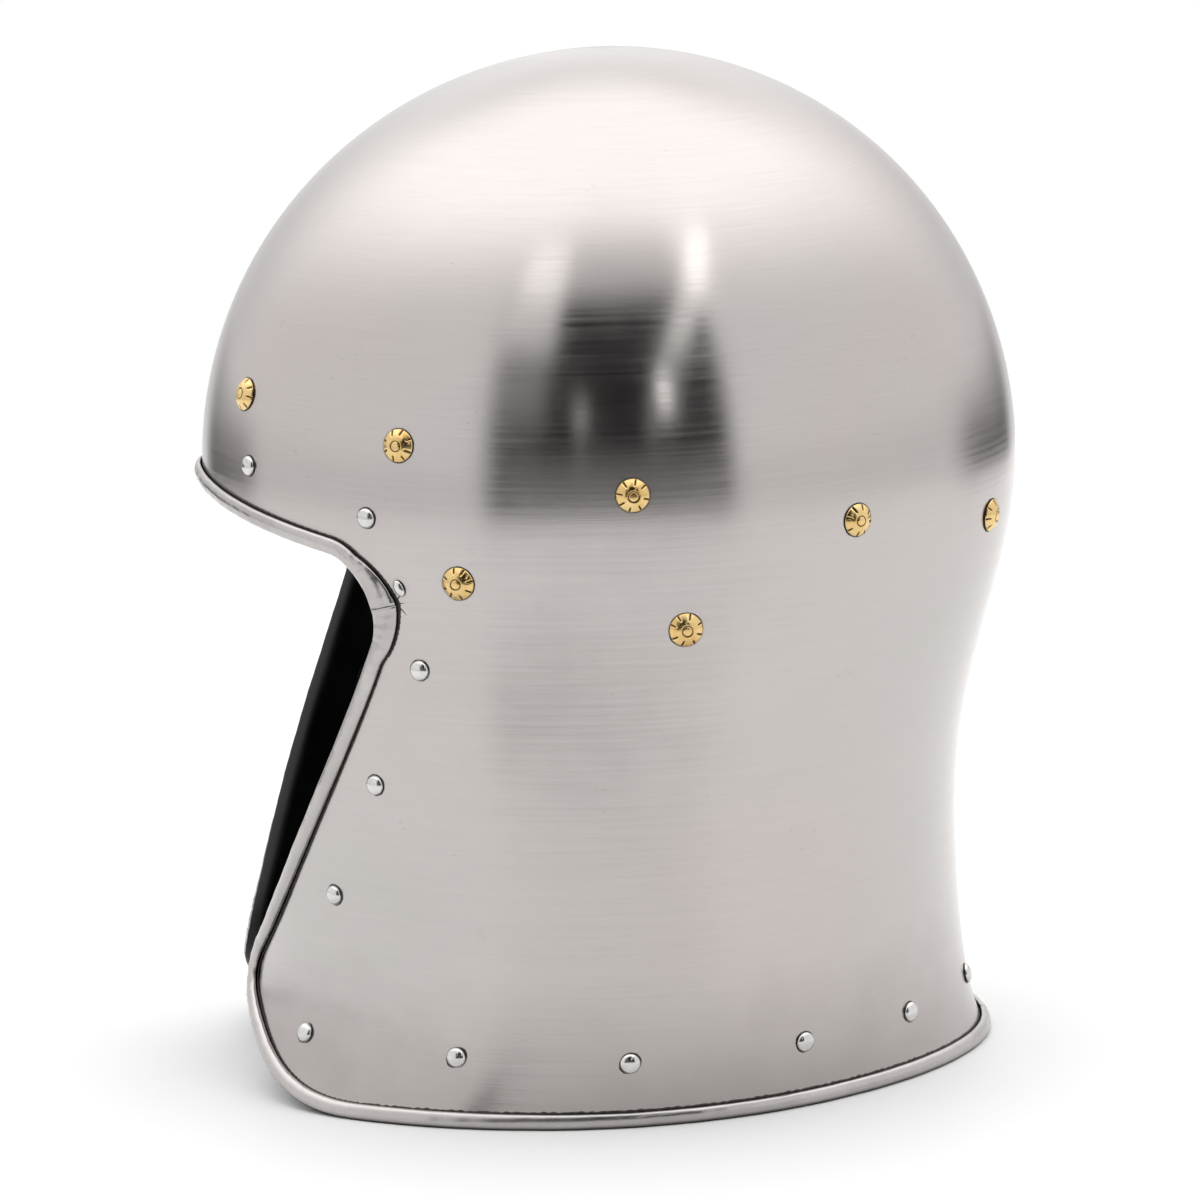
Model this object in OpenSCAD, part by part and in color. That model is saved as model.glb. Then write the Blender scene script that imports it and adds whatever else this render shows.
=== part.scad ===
// Open-faced knight's helmet: one raised steel skull with a rolled trim
// riveted round its edge, a leather suspension lining and a chin strap.
// Millimetres. +Z up, the face looks along -Y, the wearer's left is +X.
// The origin is the middle of the footprint, on the surface it stands on.
//
// A place on the skull is written [f, z]: f is the angle round the head in
// degrees, 0 at the face and 180 at the nape, and z is the height.

/* [Skull] */
// Height from the hem to the crown
helmet_h = 300; // [294:1:306]
// Height of the widest line of the dome
equator_h = 178.5; // [176:0.5:181]
// Reach forward of the dome at that line
front_reach = 123; // [118:0.5:128]
// Reach backward at that line
back_reach = 119.2; // [115:0.5:124]
// Reach sideways at that line
side_reach = 107.4; // [103:0.5:111]
// Reach forward at the hem, chin, cheek and temple
front_low = [137, 114.3, 115.9, 120]; // [95:0.1:140]
// Reach backward at the same four heights
back_low = [107, 99.5, 100.5, 113]; // [95:0.1:140]
// Reach sideways at the same four heights
side_low = [104.2, 104.7, 105.6, 105.8]; // [95:0.1:140]
// Thickness of the plate
plate_t = 1.6; // [1.2:0.1:2]

/* [Face opening] */
// Height of the brow edge at the middle
brow_h = 176.5; // [174:0.5:178]
// Fall of the brow edge for each degree round the head
brow_fall = 0.315; // [0.3:0.005:0.33]
// Where the brow line stops and the temple corner starts
brow_end_f = 44; // [43:0.5:45]
// Point that the corner leaves the brow towards
temple_upper = [48.5, 164.5]; // [40:0.1:170]
// Point from which the corner comes down to the cheek
temple_lower = [52.9, 150.5]; // [40:0.1:160]
// Where the temple corner runs into the cheek
cheek_top = [50.6, 140.2]; // [40:0.1:150]
// Point that the cheek edge bends towards
cheek_bend = [39.5, 91.4]; // [30:0.1:110]
// Where the cheek runs into the chin corner
cheek_end = [13.8, 43]; // [10:0.1:50]
// Sharp point of the chin corner
chin_tip = [6.8, 29.7]; // [5:0.1:35]
// Where the chin corner runs into the sweep of the hem
sweep_top = [16, 20.7]; // [12:0.1:25]
// Angle at which the hem comes down to the surface
sweep_end_f = 54; // [50:0.5:58]

/* [Trim] */
// Width of the rolled bead on the outside
bead_w = 5; // [4:0.1:6]
// How far the bead stands proud of the plate
bead_h = 2.3; // [1.5:0.1:3]
// Width of the side strips, bead and inside flange
strip_w = 26; // [25:0.5:27]
// Width of the brow strip, bead and inside flange
brow_strip_w = 22; // [21:0.5:23]
// How much wider the bead is at the point of the temple corner
corner_spread = 4; // [2:0.5:5]
// Thickness of the inside flange
flange_t = 1.2; // [0.8:0.1:1.5]
// Gap left where two strips of trim meet
seam_gap = 0.6; // [0.4:0.1:1]

/* [Fasteners] */
// Diameter of the steel rivet heads
rivet_head_d = 6; // [5:0.5:7]
// Diameter of the brass rosettes
rosette_d = 10; // [9:0.5:11]
// Diameter of every shank
shank_d = 3; // [2.5:0.1:3.5]
// Radial clearance of a shank in its hole
hole_gap = 0.08; // [0.04:0.01:0.1]

/* [Lining] */
// Width of the leather band
band_w = 20; // [18:1:21]
// Thickness of the leather
leather_t = 2; // [1.5:0.1:2.2]
// Number of lobes that cradle the head
lobe_count = 8; // [6:1:10]
// Diameter of the gathering cord
cord_d = 3; // [2:0.5:4]

/* [Chin strap] */
// Width of the straps
strap_w = 16; // [14:1:18]
// Height of the swivel rivets
swivel_z = 104; // [100:1:108]
// Length of the strap with the buckle, rivet to buckle bar
left_strap_len = 62; // [56:1:66]
// Straight length of the strap with the holes, above its curl
right_strap_len = 66; // [60:1:70]
// Wire thickness of the buckle
buckle_wire = 2.6; // [2:0.2:3]

/* [Hidden] */

centre_y = 3.05;            // puts the footprint's middle at the origin
dome_h = helmet_h - equator_h;
low_z = [0, 40, 90, 140];   // heights of the four lower reaches
square_front = 0.014;       // how far the plan is drawn in at the quarters
square_back = 0.03;
brow_round = 12;            // angle over which the brow turns at its middle
slot_in = 1.9;              // edge of the rim to the bottom of the bead's slot
plate_in = 2.2;             // edge of the rim to the edge of the plate
lip_gap = 0.2;              // plate to the bead's outer lip
flange_gap = 0.5;           // plate to the inside flange
hole_d = shank_d + 2 * hole_gap;

// ---- surface of the skull ---------------------------------------------

function unit(v) = v / norm(v);
function mix(a, b, t) = a + (b - a) * t;
function total(v, i = 0) = i < len(v) ? v[i] + total(v, i + 1) : 0;
function fall(z) = (equator_h - z) / equator_h;
function cap(z, r) = r * (1 - pow((equator_h - z) / dome_h, 2) / 2);
function weight(z, i) = let (w = [for (j = [0:3]) j == i ? 1 : (z - low_z[j]) / (low_z[i] - low_z[j])])
    w[0] * w[1] * w[2] * w[3];
function below(z, r, low) = cap(z, r) + pow(fall(z), 3)
    * total([for (i = [0:3]) weight(z, i) * (low[i] - cap(low_z[i], r)) / pow(fall(low_z[i]), 3)]);
function reach(z, r, low) = z < equator_h ? below(z, r, low)
    : r * sqrt(max(0, 1 - pow((z - equator_h) / dome_h, 2)));

// Point on the outside of the plate
function wall(f, z) = let (
    front = reach(z, front_reach, front_low),
    back = reach(z, back_reach, back_low),
    side = reach(z, side_reach, side_low),
    draw = 1 - mix(square_front, square_back, (1 - cos(f)) / 2) * pow(sin(2 * f), 2))
    [side * sin(f) * draw, (back - front) / 2 - (front + back) / 2 * cos(f) * draw + centre_y, z];

step = 0.05;
function wall_df(f, z) = (wall(f + step, z) - wall(f - step, z)) / (2 * step);
function wall_dz(f, z) = (wall(f, z + step) - wall(f, z - step)) / (2 * step);
function out(f, z) = z > helmet_h - 0.5 ? [0, 0, 1] : unit(cross(wall_df(f, z), wall_dz(f, z)));
function skin(f, z, n) = wall(f, z) + n * out(f, z);

// Heights are stepped evenly round the dome with the angle up from its widest line
function up_angle(z) = z > equator_h ? asin((z - equator_h) / dome_h)
    : (z - equator_h) / dome_h * 180 / PI;
function height(v) = v > 0 ? equator_h + dome_h * sin(v) : equator_h + dome_h * v * PI / 180;

// ---- edge of the plate --------------------------------------------------

function curve(a, b, c, t) = mix(mix(a, b, t), mix(b, c, t), t);
function brow(f) = brow_h - brow_fall * (sqrt(f * f + brow_round * brow_round) - brow_round);
hem_z = -0.3;
brow_end = [brow_end_f, brow(brow_end_f)];
sweep_tip = [sweep_top[0] + (sweep_top[1] - hem_z) * (sweep_top[0] - chin_tip[0])
    / (chin_tip[1] - sweep_top[1]), hem_z];
sweep_end = [sweep_end_f, hem_z];
// t: 0 brow, 1 temple corner, 2 cheek, 3 chin corner, 4 sweep, 5 hem, 6 nape
function rim(t) =
    t < 1 ? [t * brow_end_f, brow(t * brow_end_f)]
    : t < 2 ? mix(curve(brow_end, temple_upper, temple_lower, t - 1),
        curve(temple_upper, temple_lower, cheek_top, t - 1), t - 1)
    : t < 3 ? curve(cheek_top, cheek_bend, cheek_end, t - 2)
    : t < 4 ? curve(cheek_end, chin_tip, sweep_top, t - 3)
    : t < 5 ? curve(sweep_top, sweep_tip, sweep_end, t - 4)
    : [mix(sweep_end_f, 180, t - 5), hem_z];

// Step in [f, z] that goes 1 mm into the plate, square to the rim at t
function inward(t) = let (
    a = rim(t - 0.002), b = rim(t + 0.002), p = rim(t),
    df = wall_df(p[0], p[1]), dz = wall_dz(p[0], p[1]),
    along = unit(df * (b[0] - a[0]) + dz * (b[1] - a[1])),
    w = cross(out(p[0], p[1]), along),
    e = df * df, g = dz * dz, h = df * dz, det = e * g - h * h)
    [((w * df) * g - (w * dz) * h) / det, ((w * dz) * e - (w * df) * h) / det];
function inset(t, s) = rim(t) + s * inward(t);

corner_t = 1.68;               // where the brow strip meets the side strips

// ---- skull ---------------------------------------------------------------

brow_cols = 8;
corner_cols = 4;
side_cols = 26;
dome_rows = 12;
front_cols = brow_cols + corner_cols;
half_cols = front_cols + side_cols;
ring = 2 * half_cols;
side_t = [for (i = [0:4]) 5 - i / 5, for (i = [0:5]) 4 - i / 6, for (i = [0:9]) 3 - i / 10,
    for (i = [0:2]) 2 - (2 - corner_t) * i / 3];
side_rows = len(side_t);
strip = 2 * side_cols + 1;

function flip(p) = [-p[0], p[1], p[2]];
function col_f(m) = m <= brow_cols ? inset(m / brow_cols, plate_in)
    : m <= front_cols ? inset(1 + (corner_t - 1) * (m - brow_cols) / corner_cols, plate_in)
    : let (c = inset(corner_t, plate_in)) [mix(c[0], 180, (m - front_cols) / side_cols), c[1]];
function dome_point(c, r, n) = let (m = c <= half_cols ? c : ring - c, q = col_f(m),
    z = height(mix(up_angle(q[1]), 90, r / dome_rows)), p = skin(q[0], z, n)) c <= half_cols ? p : flip(p);
function side_point(j, k, n) = let (q = inset(side_t[j], plate_in), m = k <= side_cols ? k : 2 * side_cols - k,
    p = skin(mix(q[0], 180, m / side_cols), q[1], n)) k <= side_cols ? p : flip(p);
function skull_layer(n) = concat(
    [for (r = [0:dome_rows - 1], c = [0:ring - 1]) dome_point(c, r, n)],
    [[0, centre_y + (back_reach - front_reach) / 2, helmet_h + n]],
    [for (j = [0:side_rows - 1], k = [0:strip - 1]) side_point(j, k, n)]);
pole = dome_rows * ring;
function dome_i(c, r) = r == dome_rows ? pole : r * ring + (c % ring);
function side_i(j, k) = j == side_rows ? front_cols + k : pole + 1 + j * strip + k;
function quad(a, b, c, d) = [[a, b, c], [a, c, d]];
// The same, split the other way on the wearer's right so that the two halves mirror each other
function cell(a, b, c, d, right) = right ? quad(b, c, d, a) : quad(a, b, c, d);
function turn(faces) = [for (q = faces) [q[2], q[1], q[0]]];
function shift(faces, by) = [for (q = faces) [q[0] + by, q[1] + by, q[2] + by]];

module skull() {
    outer = skull_layer(0);
    inner = skull_layer(-plate_t);
    count = len(outer);
    sheet = concat(
        [for (r = [0:dome_rows - 2], c = [0:ring - 1])
            each cell(dome_i(c, r), dome_i(c, r + 1), dome_i(c + 1, r + 1), dome_i(c + 1, r), c >= half_cols)],
        [for (c = [0:ring - 1]) [dome_i(c, dome_rows - 1), pole, dome_i(c + 1, dome_rows - 1)]],
        [for (j = [0:side_rows - 1], k = [0:strip - 2])
            each cell(side_i(j, k), side_i(j + 1, k), side_i(j + 1, k + 1), side_i(j, k + 1), k >= side_cols)]);
    edge = concat(
        [for (c = [0:front_cols - 1]) dome_i(c, 0)],
        [for (j = [0:side_rows - 1]) side_i(side_rows - j, 0)],
        [for (k = [0:strip - 2]) side_i(0, k)],
        [for (j = [0:side_rows - 1]) side_i(j, strip - 1)],
        [for (c = [0:front_cols - 1]) dome_i(ring - front_cols + c, 0)]);
    last = len(edge);
    wall_faces = [for (i = [0:last - 1]) let (a = edge[i], b = edge[(i + 1) % last])
        each quad(a, b, b + count, a + count)];
    color("silver") difference() {
        polyhedron(concat(outer, inner), concat(sheet, shift(turn(sheet), count), wall_faces));
        all_holes();
    }
}

// ---- trim ------------------------------------------------------------------

// Across the strip: [distance from the rim, height off the plate]
flange_out = -plate_t - flange_gap;
flange_in = flange_out - flange_t;
strip_outline = [[bead_w, lip_gap], [bead_w, 0.7], [0.86 * bead_w, 0.74 * bead_h], [0.62 * bead_w, bead_h],
    [0.38 * bead_w, 0.95 * bead_h], [0.16 * bead_w, 0.6 * bead_h], [0.1, 0.2], [0.1, -plate_t],
    [0.8, flange_in + 0.45], [plate_in, flange_in], [7, flange_in], [12, flange_in], [17, flange_in],
    [strip_w, flange_in], [strip_w, flange_out], [17, flange_out], [12, flange_out], [7, flange_out],
    [slot_in, flange_out], [slot_in, lip_gap]];
bead_edge = 7;                 // beyond this the strip is flat flange
chin_mitre = [28, 36];         // where the cheek and hem flanges meet
mitre_t = [2.898, 4.145];         // stretch of rim whose flange ends there

// How near t is to the temple corner: 1 at its point, 0 from corner_reach mm away
corner_reach = 14;
function on_wall(q) = wall(q[0], q[1]);
function cornering(t) = max(0, 1 - norm(on_wall(rim(t)) - on_wall(rim(corner_t))) / corner_reach);

// One cross-section of the strip at t; a negative t is the wearer's right.
// The bead spreads at the temple corner, and the flange is kept short there.
function strip_section(t) = let (a = abs(t), r = rim(a), w = inward(a), near = r + bead_edge * w,
    wide = 1 + corner_spread / bead_w * cornering(a),
    flange_w = (a < corner_t ? brow_strip_w : strip_w) - 6 * cornering(a),
    far = a > mitre_t[0] && a < mitre_t[1] ? chin_mitre : r + flange_w * w)
    [for (q = strip_outline) let (
        at = q[0] > bead_edge ? mix(near, far, (q[0] - bead_edge) / (strip_w - bead_edge))
            : q[1] >= lip_gap && q[0] > slot_in ? r + q[0] * wide * w : r + q[0] * w,
        p = skin(at[0], at[1], q[1]), s = [p[0], p[1], max(0, p[2])]) t < 0 ? flip(s) : s];

// Solid that runs through a list of cross-sections with equal numbers of points
module loft(sections, closed = false) {
    n = len(sections[0]);
    m = len(sections);
    joints = closed ? m : m - 1;
    polyhedron([for (s = sections) each s], concat(
        closed ? [] : [[for (i = [0:n - 1]) i]],
        [for (j = [0:joints - 1], i = [0:n - 1]) let (a = j * n, b = ((j + 1) % m) * n, k = (i + 1) % n)
            each [[a + i, b + i, b + k], [a + i, b + k, a + k]]],
        closed ? [] : [[for (i = [0:n - 1]) (m - 1) * n + n - 1 - i]]));
}

function spread(a, b, n) = [for (i = [0:n]) mix(a, b, i / n)];
module brow_trim() {
    end_t = corner_t - seam_gap / 2 / 34;
    color("gainsboro") difference() {
        loft([for (t = concat(spread(-end_t, -1, 5), spread(-0.9, 0.9, 18), spread(1, end_t, 5)))
            strip_section(t)]);
        both_sides() {
            spot_holes(brow_spots);
            spot_holes(temple_spots);
        }
    }
}
module side_trim() {
    nape = 6 - seam_gap / 2 / 1.9 / (180 - sweep_end_f);
    color("gainsboro") difference() {
        loft([for (t = concat(spread(corner_t + seam_gap / 2 / 34, 2, 3), spread(2.06, 2.84, 10),
            spread(mitre_t[0] - 0.001, mitre_t[0] + 0.001, 1), spread(3, 4, 8),
            spread(mitre_t[1] - 0.001, mitre_t[1] + 0.001, 1), spread(4.25, 5, 9), spread(5.036, nape, 27)))
            strip_section(t)]);
        spot_holes(cheek_spots);
        spot_holes(hem_spots);
    }
}
module left_side_trim() side_trim();
module right_side_trim() mirror([1, 0, 0]) side_trim();

// ---- fasteners --------------------------------------------------------------

temple_spots = [[55.9, 157.6]];
brow_spots = [[26, 187.7], [51, 177.5]];
cheek_spots = [[58.6, 133.8], [49.6, 98.5], [38.6, 63]];
hem_spots = [[34.1, 20.2], [64.3, 20], [91.2, 19], [119.9, 19], [144.5, 18.8], [171.5, 18.6]];
band_h = 185.2;                // height of the rosettes over the origin
band_fall = 0.205;             // the line of rosettes drops this much for each mm backward
strap_spots = [[65.3, 160], [97.5, 145.7]];

// Height where the wall crosses the line of rosettes
function band_z(f, z = 185, n = 5) = n == 0 ? z : band_z(f, band_h - band_fall * (wall(f, z)[1] - centre_y), n - 1);
lining_spots = [for (f = [22.6:33.7:160]) [f, band_z(f)]];

module both_sides() {
    children();
    mirror([1, 0, 0]) children();
}
// Puts a child at [f, z] on the plate, its own +Z pointing straight out
module at_wall(q) {
    p = wall(q[0], q[1]);
    n = out(q[0], q[1]);
    x = unit(cross([0, 0, 1], n));
    y = cross(n, x);
    multmatrix([[x[0], y[0], n[0], p[0]], [x[1], y[1], n[1], p[1]], [x[2], y[2], n[2], p[2]]]) children();
}
module spot_holes(spots) for (q = spots) at_wall(q) cylinder(d = hole_d, h = 24, center = true, $fn = 32);
module all_holes() both_sides() {
    spot_holes(brow_spots);
    spot_holes(temple_spots);
    spot_holes(cheek_spots);
    spot_holes(hem_spots);
    spot_holes(lining_spots);
    spot_holes(strap_spots);
}

trim_grip = 3.8;               // plate, gaps and flange under a rivet head
lining_grip = 4.8;             // plate, gap and leather under a rosette
rove_t = 0.8;
rove_d = 8;
head_lift = 0.12;
// Dome head, shank and peened tail, turned in one piece
module rivet(head_w, head_t, grip) {
    tail = grip + rove_t + 0.1;
    rotate_extrude($fn = 48) polygon(concat(
        [[0, -tail - 1], [shank_d * 0.35, -tail - 1], [shank_d * 0.75, -tail - 0.5], [shank_d * 0.75, -tail],
         [shank_d / 2, -tail], [shank_d / 2, head_lift], [head_w / 2, head_lift], [head_w / 2, head_lift + 0.25]],
        [for (a = [15:15:90]) [head_w / 2 * cos(a), head_lift + 0.25 + (head_t - 0.25) * sin(a)]]));
}
module rove(d, grip) translate([0, 0, -grip - rove_t]) difference() {
    cylinder(d = d, h = rove_t, $fn = 40);
    translate([0, 0, -1]) cylinder(d = hole_d, h = rove_t + 2, $fn = 32);
}
// Low dome with a ring cut round its middle and eight nicks in its rim
module rosette(grip) {
    difference() {
        rivet(rosette_d, 2.4, grip);
        translate([0, 0, 2.15]) difference() {
            cylinder(d = 3.6, h = 2, $fn = 40);
            translate([0, 0, -1]) cylinder(d = 2.8, h = 4, $fn = 40);
        }
        for (a = [0:45:315]) rotate(a + 12) translate([rosette_d / 2, 0, 1.6]) rotate([0, -32, 0])
            cube([3, 0.5, 1], center = true);
    }
}
module rivets(spots) color("lightsteelblue") for (q = spots) at_wall(q) rivet(rivet_head_d, 1.8, trim_grip);
module roves(spots, grip) color("darkgray") for (q = spots) at_wall(q) rove(rove_d, grip);

module brow_rivets() both_sides() rivets(brow_spots);
module temple_rivets() both_sides() color("lightsteelblue") for (q = temple_spots) at_wall(q)
    rivet(rivet_head_d - 1, 1.5, trim_grip);
module left_cheek_rivets() rivets(cheek_spots);
module right_cheek_rivets() mirror([1, 0, 0]) rivets(cheek_spots);
module hem_rivets() both_sides() rivets(hem_spots);
module brow_roves() both_sides() roves(brow_spots, trim_grip);
module temple_roves() both_sides() roves(temple_spots, trim_grip);
module cheek_roves() both_sides() roves(cheek_spots, trim_grip);
module hem_roves() both_sides() roves(hem_spots, trim_grip);
module lining_rosettes() both_sides() color("goldenrod") for (q = lining_spots) at_wall(q) rosette(lining_grip);
module lining_roves() both_sides() roves(lining_spots, lining_grip);
module strap_rosettes() both_sides() color("goldenrod") for (q = strap_spots) at_wall(q) rosette(lining_grip);
module strap_roves() both_sides() roves(strap_spots, lining_grip);

// ---- lining -------------------------------------------------------------------

leather_out = -plate_t - 0.6;
leather_in = leather_out - leather_t;
function band_section(f) = let (a = f > 180 ? 360 - f : f, z = band_z(a), s = band_w / 2,
    q = concat([for (k = [-1:2 / 3:1]) skin(a, z + s * k, leather_out)],
        [for (k = [-1:2 / 3:1]) skin(a, z - s * k, leather_in)])) f > 180 ? [for (p = q) flip(p)] : q;
module lining_band() color("saddlebrown") difference() {
    loft([for (f = [0:5:355]) band_section(f)], closed = true);
    both_sides() spot_holes(lining_spots);
}

lobe_rows = 7;
lobe_cols = 4;
lobe_half = 180 / lobe_count - 1.4;      // half the angle a lobe spans at the band
lobe_foot = 5.5;                         // how far over the line of rosettes the lobes start
lobe_top = 66;                           // angle above the equator of a lobe's tip
function wrap(f) = f > 180 ? 360 - f : f < 0 ? -f : f;
function lobe_point(f, u, n) = let (a = wrap(f), low = up_angle(band_z(a) + lobe_foot),
    z = height(mix(low, lobe_top, u)), p = skin(a, z, n)) f > 180 || f < 0 ? flip(p) : p;
// How far the lobe hangs inside the plate at u, 0 at the band and 1 at the tip
function lobe_drop(u) = leather_in - 0.6 - 17 * pow(sin(90 * u), 1.3);
function lobe_span(u) = lobe_half * (u < 0.6 ? 1 : 1 - 0.75 * pow((u - 0.6) / 0.4, 2));
module lobe(i) {
    middle = (i + 0.5) * 360 / lobe_count;
    color("peru") loft([for (r = [0:lobe_rows]) let (u = r / lobe_rows) concat(
        [for (c = [0:lobe_cols]) lobe_point(middle + lobe_span(u) * (2 * c / lobe_cols - 1), u, lobe_drop(u))],
        [for (c = [0:lobe_cols]) lobe_point(middle + lobe_span(u) * (1 - 2 * c / lobe_cols), u,
            lobe_drop(u) - leather_t)])]);
}
module lobe_1() lobe(0);
module lobe_2() lobe(1);
module lobe_3() lobe(2);
module lobe_4() lobe(3);
module lobe_5() lobe(4);
module lobe_6() lobe(5);
module lobe_7() lobe(6);
module lobe_8() lobe(7);

// Cord under the tips of the lobes, tied in an endless ring
cord_drop = lobe_drop(1) - leather_t - cord_d / 2 - 0.4;
function cord_at(f) = let (a = wrap(f), p = skin(a, height(lobe_top - 3), cord_drop)) f > 180 ? flip(p) : p;
module lobe_cord() color("wheat") loft([for (f = [0:12:348]) let (p = cord_at(f), d = unit([p[0], p[1], 0]))
    [for (a = [0:45:315]) p + cord_d / 2 * (d * cos(a) + [0, 0, 1] * sin(a))]], closed = true);

// ---- chin strap -----------------------------------------------------------------

swivel_y = -17;
layer = leather_t + 0.3;       // pitch of layers of leather on the swivel rivet
rear_leg_x = 92;
front_leg_x = rear_leg_x - layer;
strap_x = front_leg_x - layer;
swivel_hole = shank_d + 2 * hole_gap;

// Flat strap that leaves the wall under a rosette and hangs down to the swivel rivet
module strap_leg(spot, x) {
    n0 = out(spot[0], spot[1]);
    hole = wall(spot[0], spot[1]) + (leather_out - 0.3 - leather_t / 2) * n0;
    d = [x, swivel_y, swivel_z];
    drop = unit([0, hole[1] - d[1], hole[2] - d[2]]);
    flat = unit((d - hole) - ((d - hole) * n0) * n0);
    a = hole + 6 * flat;
    b = a + 14 * flat;
    c = d + 20 * drop;
    line = concat([hole - 8 * flat],
        [for (i = [0:8]) let (t = i / 8) mix(curve(a, b, c, t), curve(b, c, d, t), t)], [d - 9 * drop]);
    count = len(line);
    color("saddlebrown") difference() {
        loft([for (i = [0:count - 1]) let (
            along = unit(line[min(i + 1, count - 1)] - line[max(i - 1, 0)]),
            n = unit(mix(n0, [1, 0, 0], min(1, max(0, (i - 1) / (count - 4))))), w = unit(cross(n, along)), m = cross(along, w))
            [for (q = [[1, 1], [1, -1], [-1, -1], [-1, 1]])
                line[i] + w * q[0] * (strap_w - 2) / 2 + m * q[1] * leather_t / 2]]);
        spot_holes([spot]);
        translate(d) rotate([0, 90, 0]) cylinder(d = swivel_hole, h = 8, center = true, $fn = 32);
    }
}
module left_front_leg() strap_leg(strap_spots[0], front_leg_x);
module left_rear_leg() strap_leg(strap_spots[1], rear_leg_x);
module right_front_leg() mirror([1, 0, 0]) left_front_leg();
module right_rear_leg() mirror([1, 0, 0]) left_rear_leg();

// Three layers of leather turn on this rivet; its head faces the wearer
module left_swivel_rivet() color("goldenrod") translate([strap_x - leather_t / 2 - 0.1, swivel_y, swivel_z])
    rotate([0, -90, 0]) rivet(8, 2, 3 * layer - rove_t);
module right_swivel_rivet() mirror([1, 0, 0]) left_swivel_rivet();

bar_gap = 0.08;
bar_r = buckle_wire / 2;
loop_r = bar_r + bar_gap;
bar_x = strap_x - leather_t / 2 - loop_r;
bar_z = swivel_z - left_strap_len;
fold_up = 20;                  // turned-up end of the strap above the bar
stitch_z = bar_z + 14;
prong_slot = 4.6;

module across(x, z, d, w) translate([x, swivel_y, z]) rotate([90, 0, 0]) cylinder(d = d, h = w, center = true, $fn = 40);
// Extrudes an [x, z] outline across the width of the strap
module strip_of(w) translate([0, swivel_y, 0]) rotate([90, 0, 0]) linear_extrude(w, center = true) children();

module left_chin_strap() color("saddlebrown") difference() {
    union() {
        strip_of(strap_w) {
            translate([strap_x - leather_t / 2, bar_z]) square([leather_t, left_strap_len + 9]);
            polygon([[bar_x - loop_r - leather_t, bar_z], [bar_x - loop_r, bar_z],
                [strap_x - leather_t / 2 - 0.15, bar_z + 8], [strap_x - leather_t / 2 - 0.15, bar_z + fold_up],
                [strap_x - 1.5 * leather_t - 0.15, bar_z + fold_up], [strap_x - 1.5 * leather_t - 0.15, bar_z + 8]]);
        }
        difference() {
            across(bar_x, bar_z, 2 * (loop_r + leather_t), strap_w);
            translate([bar_x - loop_r - leather_t - 1, swivel_y - strap_w, bar_z]) cube([12, 2 * strap_w, 12]);
        }
    }
    across(bar_x, bar_z, 2 * loop_r, strap_w + 2);
    translate([bar_x, swivel_y, bar_z]) cube([12, prong_slot, 12], center = true);
    translate([strap_x, swivel_y, swivel_z]) rotate([0, 90, 0])
        cylinder(d = swivel_hole, h = 6, center = true, $fn = 32);
    translate([strap_x, swivel_y, stitch_z]) rotate([0, 90, 0])
        cylinder(d = 2.2, h = 12, center = true, $fn = 32);
}
module strap_stitch_rivet() color("goldenrod")
    translate([strap_x + leather_t / 2 + 0.6, swivel_y, stitch_z]) rotate([0, -90, 0])
    rotate_extrude($fn = 40) {
        grip = 2 * leather_t + 0.8;
        polygon([[0, -0.4], [2, -0.4], [2.4, 0.1], [2.4, 0.5], [1, 0.5], [1, grip + 0.1], [2.4, grip + 0.1],
            [2.4, grip + 0.4], [2, grip + 0.9], [0, grip + 1]]);
    }

curl_r = 14;                   // inward curl at the end of the right strap
tip_len = 12;
module right_chin_strap() color("saddlebrown") mirror([1, 0, 0]) difference() {
    foot_z = swivel_z - right_strap_len;
    strip_of(strap_w) {
        translate([strap_x - leather_t / 2, foot_z]) square([leather_t, right_strap_len + 9]);
        difference() {
            translate([strap_x - curl_r, foot_z]) circle(curl_r + leather_t / 2, $fn = 96);
            translate([strap_x - curl_r, foot_z]) circle(curl_r - leather_t / 2, $fn = 96);
            translate([strap_x - 3 * curl_r, foot_z]) square(4 * curl_r);
            translate([strap_x - 4 * curl_r, foot_z - 2 * curl_r]) square([3 * curl_r, 3 * curl_r]);
        }
        translate([strap_x - curl_r - tip_len, foot_z - curl_r - leather_t / 2]) square([tip_len, leather_t]);
    }
    for (side = [-1, 1]) translate([strap_x - curl_r - tip_len, swivel_y, foot_z - curl_r])
        rotate(side * 40) translate([-10, side * 12, 0]) cube([20, 24, 6], center = true);
    for (z = [foot_z + 4:10:foot_z + 45]) translate([strap_x, swivel_y, z]) rotate([0, 90, 0])
        cylinder(d = 3, h = 6, center = true, $fn = 32);
    translate([strap_x, swivel_y, swivel_z]) rotate([0, 90, 0])
        cylinder(d = swivel_hole, h = 6, center = true, $fn = 32);
}

frame_w = 22;                  // between the middles of the buckle's side bars
frame_h = 20;
module buckle_frame() color("goldenrod") {
    across(bar_x, bar_z, buckle_wire, frame_w);
    across(bar_x, bar_z - frame_h, buckle_wire, frame_w);
    for (side = [-1, 1]) translate([bar_x, swivel_y + side * frame_w / 2, bar_z - frame_h]) {
        cylinder(d = buckle_wire, h = frame_h, $fn = 40);
        for (h = [0, frame_h]) translate([0, 0, h]) sphere(d = buckle_wire, $fn = 40);
    }
}
prong_d = 2;
module buckle_prong() color("goldenrod") {
    lean = atan((bar_r + prong_d / 2 + 0.15) / frame_h);
    difference() {
        union() {
            across(bar_x, bar_z, 2 * (loop_r + 1), 3.6);
            translate([bar_x, swivel_y, bar_z]) rotate([0, lean, 0]) translate([0, 0, -frame_h - 2.4])
                cylinder(d = prong_d, h = frame_h + 2.4, $fn = 32);
            translate([bar_x, swivel_y, bar_z]) rotate([0, lean, 0]) translate([0, 0, -frame_h - 2.4])
                sphere(d = prong_d, $fn = 32);
        }
        across(bar_x, bar_z, 2 * loop_r, 8);
    }
}
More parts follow.
